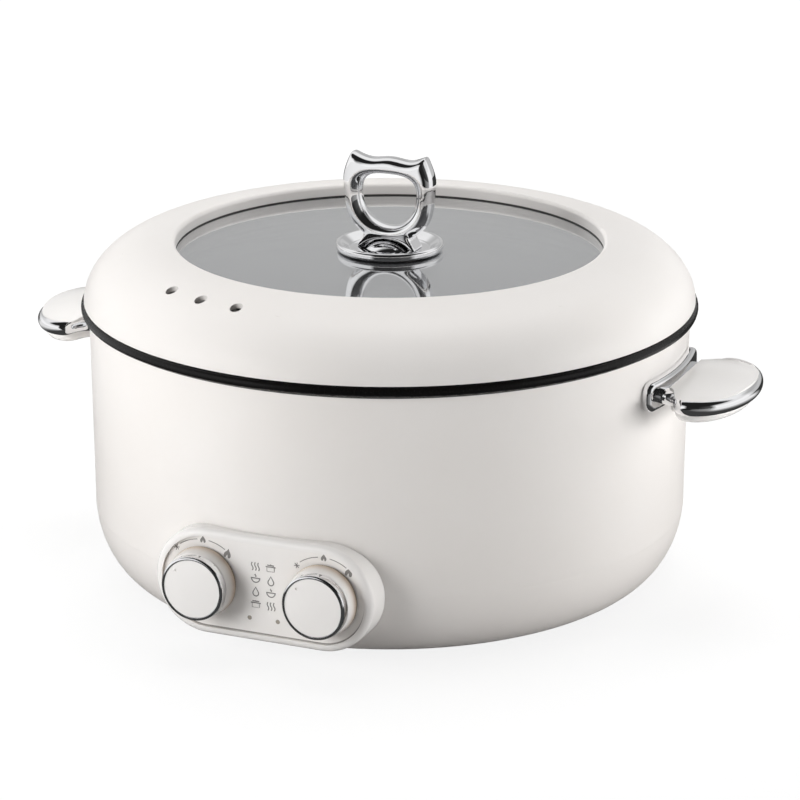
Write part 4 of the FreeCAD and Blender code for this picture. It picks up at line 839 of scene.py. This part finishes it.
# %% Flames
FLAME_OUTLINE = [
    (-0.45, -1.6), (-1.05, -1.7), (-1.45, -1.0), (-1.4, -0.2), (-0.95, 0.55), (-0.45, 1.1),
    (0.0, 2.1), (0.5, 1.2), (0.75, 0.9), (1.2, 0.3), (1.5, -0.5), (1.4, -1.3), (1.0, -1.7),
    (0.5, -1.6), (0.45, -1.0), (0.1, -0.35), (-0.3, -0.9),
]
# Each flame's angle on the scale, its step inward in millimetres, and its size.
FLAMES = ((0.0, 0.0, 1.0), (40.0, 0.7, 1.3))
FLAME_LEAN = 0.35


def filled_on_face(name, outlines):
    """A thin plate for each outline, with its back on the panel's face."""
    shape = bmesh.new()
    for points in outlines:
        rings = []
        for y in (FACE_FRONT, FACE_FRONT - INK_HEIGHT):
            rings.append([shape.verts.new((x, y, z)) for x, z in points])
        shape.faces.new(rings[0])
        shape.faces.new(list(reversed(rings[1])))
        for i in range(len(points)):
            j = (i + 1) % len(points)
            shape.faces.new([rings[0][j], rings[0][i], rings[1][i], rings[1][j]])
    bmesh.ops.triangulate(shape, faces=shape.faces)
    bmesh.ops.recalc_face_normals(shape, faces=shape.faces)
    mesh = bpy.data.meshes.new(name)
    shape.to_mesh(mesh)
    shape.free()
    mesh.materials.append(ink)
    piece = bpy.data.objects.new(name, mesh)
    bpy.context.scene.collection.objects.link(piece)
    return piece


flame_outlines = []
for middle in knob_centres:
    for angle, inward, size in FLAMES:
        on_scale = arc_points(SCALE_RADIUS / MM - inward, angle, angle, 1)[0]
        across, rise = around_middle([on_scale], middle)[0]
        lean = angle * FLAME_LEAN
        flame_outlines.append(around_middle(FLAME_OUTLINE, (across, 0, rise), size, lean))
flames = filled_on_face("flames_print", flame_outlines)
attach(flames, "pot")
print("flames:", len(flame_outlines))

# %% [markdown]
# Between the knobs stand two short columns of small signs. They are generic kitchen pictures,
# drawn with a few strokes each: steam, a bowl, a drop and a pan. The same tree makes their lines.

# %% Small signs between the knobs
def wave(x, low, high, swing):
    """One wave that rises from low to high."""
    points = []
    for step in range(9):
        swung = x + swing * math.sin(2 * math.pi * step / 8)
        points.append((swung, low + (high - low) * step / 8))
    return points


def bow(radius, first, last, rise=0.0):
    """An arc about a sign's middle, moved up by rise."""
    return [(x, z + rise) for x, z in arc_points(radius, first, last, 12)]


steam_sign = [wave(x, -1.5, 1.5, 0.3) for x in (-1.2, 0.0, 1.2)]
bowl_sign = [bow(1.6, 95, 265, 0.4), [(-1.8, 0.4), (1.8, 0.4)], wave(0, 0.9, 1.9, 0.2)]
drop_sign = [bow(1.1, 60, 300, -0.5), [(0.95, 0.05), (0, 1.7), (-0.95, 0.05)]]
pan_sign = [
    [(-1.4, 0.6), (-1.4, -1.1), (1.4, -1.1), (1.4, 0.6)],
    [(-1.9, 0.6), (1.9, 0.6)],
    [(-1.3, 1.2), (1.3, 1.2)],
    [(0, 1.2), (0, 1.7)],
]
SIGN_SIZE = 1.4
SIGN_PITCH = 6.6
SIGN_COLUMNS = (-4.1, 4.1)
SIGN_TOP = 11.4
signs_down = [steam_sign, bowl_sign, drop_sign, pan_sign]
panel_middle = [0, 0, knob_centres[0][2]]
sign_strokes = []
for column, order in zip(SIGN_COLUMNS, (signs_down, signs_down[::-1])):
    for row, sign in enumerate(order):
        across, rise = around_middle([(column, SIGN_TOP - row * SIGN_PITCH)], panel_middle)[0]
        for stroke in sign:
            sign_strokes.append(around_middle(stroke, (across, 0, rise), SIGN_SIZE))
signs = swept(curves_on_face("signs", sign_strokes), LINE_WIDTH, ink)
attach(signs, "pot")
print("signs:", len(sign_strokes), "strokes")

# %% [markdown]
# The studio is plain. A pale floor runs out of the picture on every side. To the eye it is white,
# but it keeps the pot's soft shadow: near the pot, what the camera sees of it is mostly an even
# glow and partly a matt surface, and far away it is all glow. Chrome needs something dark to
# mirror, or it looks like grey plastic, so a photographer lays black cards round the pot, just
# outside the picture. Here the floor and the sky play the cards' part for reflected rays alone:
# their brightness then follows the azimuth, white to the left and to the right as if large sheets
# stood there, nearly black in front, and dark behind. Close to the pot the floor mirrors almost
# nothing. Light that the floor sends back up right beside the drum is dimmer and warmer too,
# because the pot shades it.

# %% Floor
FLOOR_ROUND = [
    (-180, 0.04), (-122, 0.05), (-108, 0.80), (-20, 0.92), (-10, 0.01), (14, 0.015), (24, 0.13),
    (66, 0.34), (80, 0.92), (134, 0.92), (146, 0.04), (180, 0.04),
]
FLOOR_GLOW = 1.06
GLOW_SHARE_NEAR = 0.8
GLOW_RUNS_FULL = (0.6, 1.3)
MIRRORED_NEAR = 0.05
MIRROR_RUNS_FULL = (0.30, 0.55)
SHADED_SHARE = 0.5
SHADE_RUNS_OUT = (0.17, 0.27)


def studio_floor(name):
    """White to the eye, with cards for reflected rays; distances are from the pot's axis."""
    finish = Finish(name)
    x, y = finish.axis("X"), finish.axis("Y")
    from_axis = finish.apart(x, y)
    grain = finish.noise(0.5, 2.0, 0.5)
    paper = finish.mix(grain, (0.86, 0.86, 0.86, 1), (0.87, 0.87, 0.87, 1))
    shaded = (1 - from_axis.between(*SHADE_RUNS_OUT)) * finish.ray("Diffuse") * SHADED_SHARE
    colour = finish.mix(shaded, paper, (0.10, 0.08, 0.075, 1))
    matt = finish.add("ShaderNodeBsdfDiffuse", {}, {"Color": colour})
    away = from_axis.between(*MIRROR_RUNS_FULL)
    mirrored = finish.round_the_pot(x, y, FLOOR_ROUND) * away + MIRRORED_NEAR * (1 - away)
    glossy = finish.ray("Glossy")
    strength = glossy * mirrored + (1 - glossy) * FLOOR_GLOW
    glow = finish.add("ShaderNodeEmission", {}, {"Color": (1, 1, 1, 1), "Strength": strength})
    far = from_axis.between(*GLOW_RUNS_FULL)
    seen = finish.ray("Camera", "Transmission") * (far * (1 - GLOW_SHARE_NEAR) + GLOW_SHARE_NEAR)
    parts = {0: seen + glossy, 1: matt.outputs[0], 2: glow.outputs[0]}
    finish.show(finish.add("ShaderNodeMixShader", {}, parts))
    return finish.material


FLOOR_HALF = 7.0
corner_signs = ((-1, -1), (1, -1), (1, 1), (-1, 1))
floor_corners = [(i * FLOOR_HALF, j * FLOOR_HALF, 0) for i, j in corner_signs]
floor_mesh = bpy.data.meshes.new("floor")
floor_mesh.from_pydata(floor_corners, [], [(0, 1, 2, 3)])
floor_mesh.materials.append(studio_floor("floor"))
floor = bpy.data.objects.new("floor", floor_mesh)
bpy.context.scene.collection.objects.link(floor)
print("floor:", floor.name, FLOOR_HALF * 2, "m wide")

# %% [markdown]
# The sky does three jobs. It adds a little even light to the shadows. It is plain white where the
# camera looks past the pot. And for reflected rays it goes on from the floor: white to the left
# and to the right and nearly black in front, but grey behind, because that is the side which the
# glass mirrors. Its ceiling is nearly black on the camera's side and bright beyond the pot.

# %% Sky
SKY_ROUND = [
    (-180, 0.56), (-132, 0.56), (-118, 0.85), (-100, 1.0), (-20, 1.0), (-10, 0.02), (17, 0.02),
    (30, 0.02), (68, 0.09), (80, 1.0), (138, 1.0), (150, 0.56), (180, 0.56),
]
SKY_RISE = [(0.0, 1.0), (0.245, 1.0), (0.29, 0.84), (1.0, 0.8)]
CEILING_START, CEILING_FULL = 0.42, 0.60
CEILING_FRONT, CEILING_BACK = 0.015, 0.90
CEILING_TURNS_OVER = (0.0, 0.25)
SKY_FILL = 0.035

world = bpy.data.worlds.new("sky")
bpy.context.scene.world = world
sky = Shading(world, "ShaderNodeOutputWorld")
towards = sky.add("ShaderNodeTexCoord").outputs["Generated"]
across, deep, rise = (sky.axis(name, towards) for name in "XYZ")
sides = sky.round_the_pot(across, deep, SKY_ROUND) * sky.curve(rise, SKY_RISE)
beyond = deep * math.cos(CAMERA_AZIMUTH) - across * math.sin(CAMERA_AZIMUTH)
ceiling = CEILING_FRONT + beyond.between(*CEILING_TURNS_OVER) * (CEILING_BACK - CEILING_FRONT)
overhead = rise.between(CEILING_START, CEILING_FULL)
mirrored_sky = sides * (1 - overhead) + ceiling * overhead
glossy_sky, seen_sky = sky.ray("Glossy"), sky.ray("Camera", "Transmission")
strength = glossy_sky * mirrored_sky + seen_sky + (1 - glossy_sky - seen_sky) * SKY_FILL
sky.show(sky.add("ShaderNodeBackground", {}, {"Color": (1, 1, 1, 1), "Strength": strength}))
print("sky:", len(sky.tree.nodes), "nodes, fill", SKY_FILL)

# %% [markdown]
# Six large soft lamps light the pot. A strong one stands low on the left and another low on the
# right, and between them they leave a gentle darker band on the drum, a little right of the
# middle. One overhead lights the lid's top, a weak one high on the left lifts the lid's left
# side, and two behind keep the far edges from going grey. Each lamp is given by its azimuth and
# elevation as seen from the pot, so it can be walked round like a real light stand. Reflected
# rays don't see the lamps, because the floor and the sky already stand for the sheets.

# %% Lamps
LAMP_DISTANCE = 1.6
# Each lamp's name, azimuth and elevation in degrees, width and height in metres, and watts.
LAMPS = [
    ("lamp_left", -37, 14, 0.8, 0.8, 16.8),
    ("lamp_left_high", -60, 50, 0.8, 1.0, 2.0),
    ("lamp_right", 98, 7, 0.8, 0.4, 14.0),
    ("lamp_back_right", 135, 9, 0.8, 0.4, 5.5),
    ("lamp_back_left", -145, 22, 0.8, 1.0, 9.0),
    ("lamp_top", 185, 80, 1.0, 1.0, 15.5),
]


def soft_lamp(name, azimuth, elevation, width, height, power):
    """An area lamp that faces the pot from a direction."""
    out = direction(math.radians(azimuth), math.radians(elevation))
    data = bpy.data.lights.new(name, "AREA")
    data.shape = "RECTANGLE"
    data.size = width
    data.size_y = height
    data.energy = power
    lamp = bpy.data.objects.new(name, data)
    lamp.location = CAMERA_TARGET + out * LAMP_DISTANCE
    lamp.rotation_mode = "QUATERNION"
    lamp.rotation_quaternion = out.to_track_quat("Z", "Y")
    lamp.visible_glossy = False
    bpy.context.scene.collection.objects.link(lamp)
    return lamp


lamps = [soft_lamp(*lamp) for lamp in LAMPS]
print("lamps:", [lamp.name for lamp in lamps])
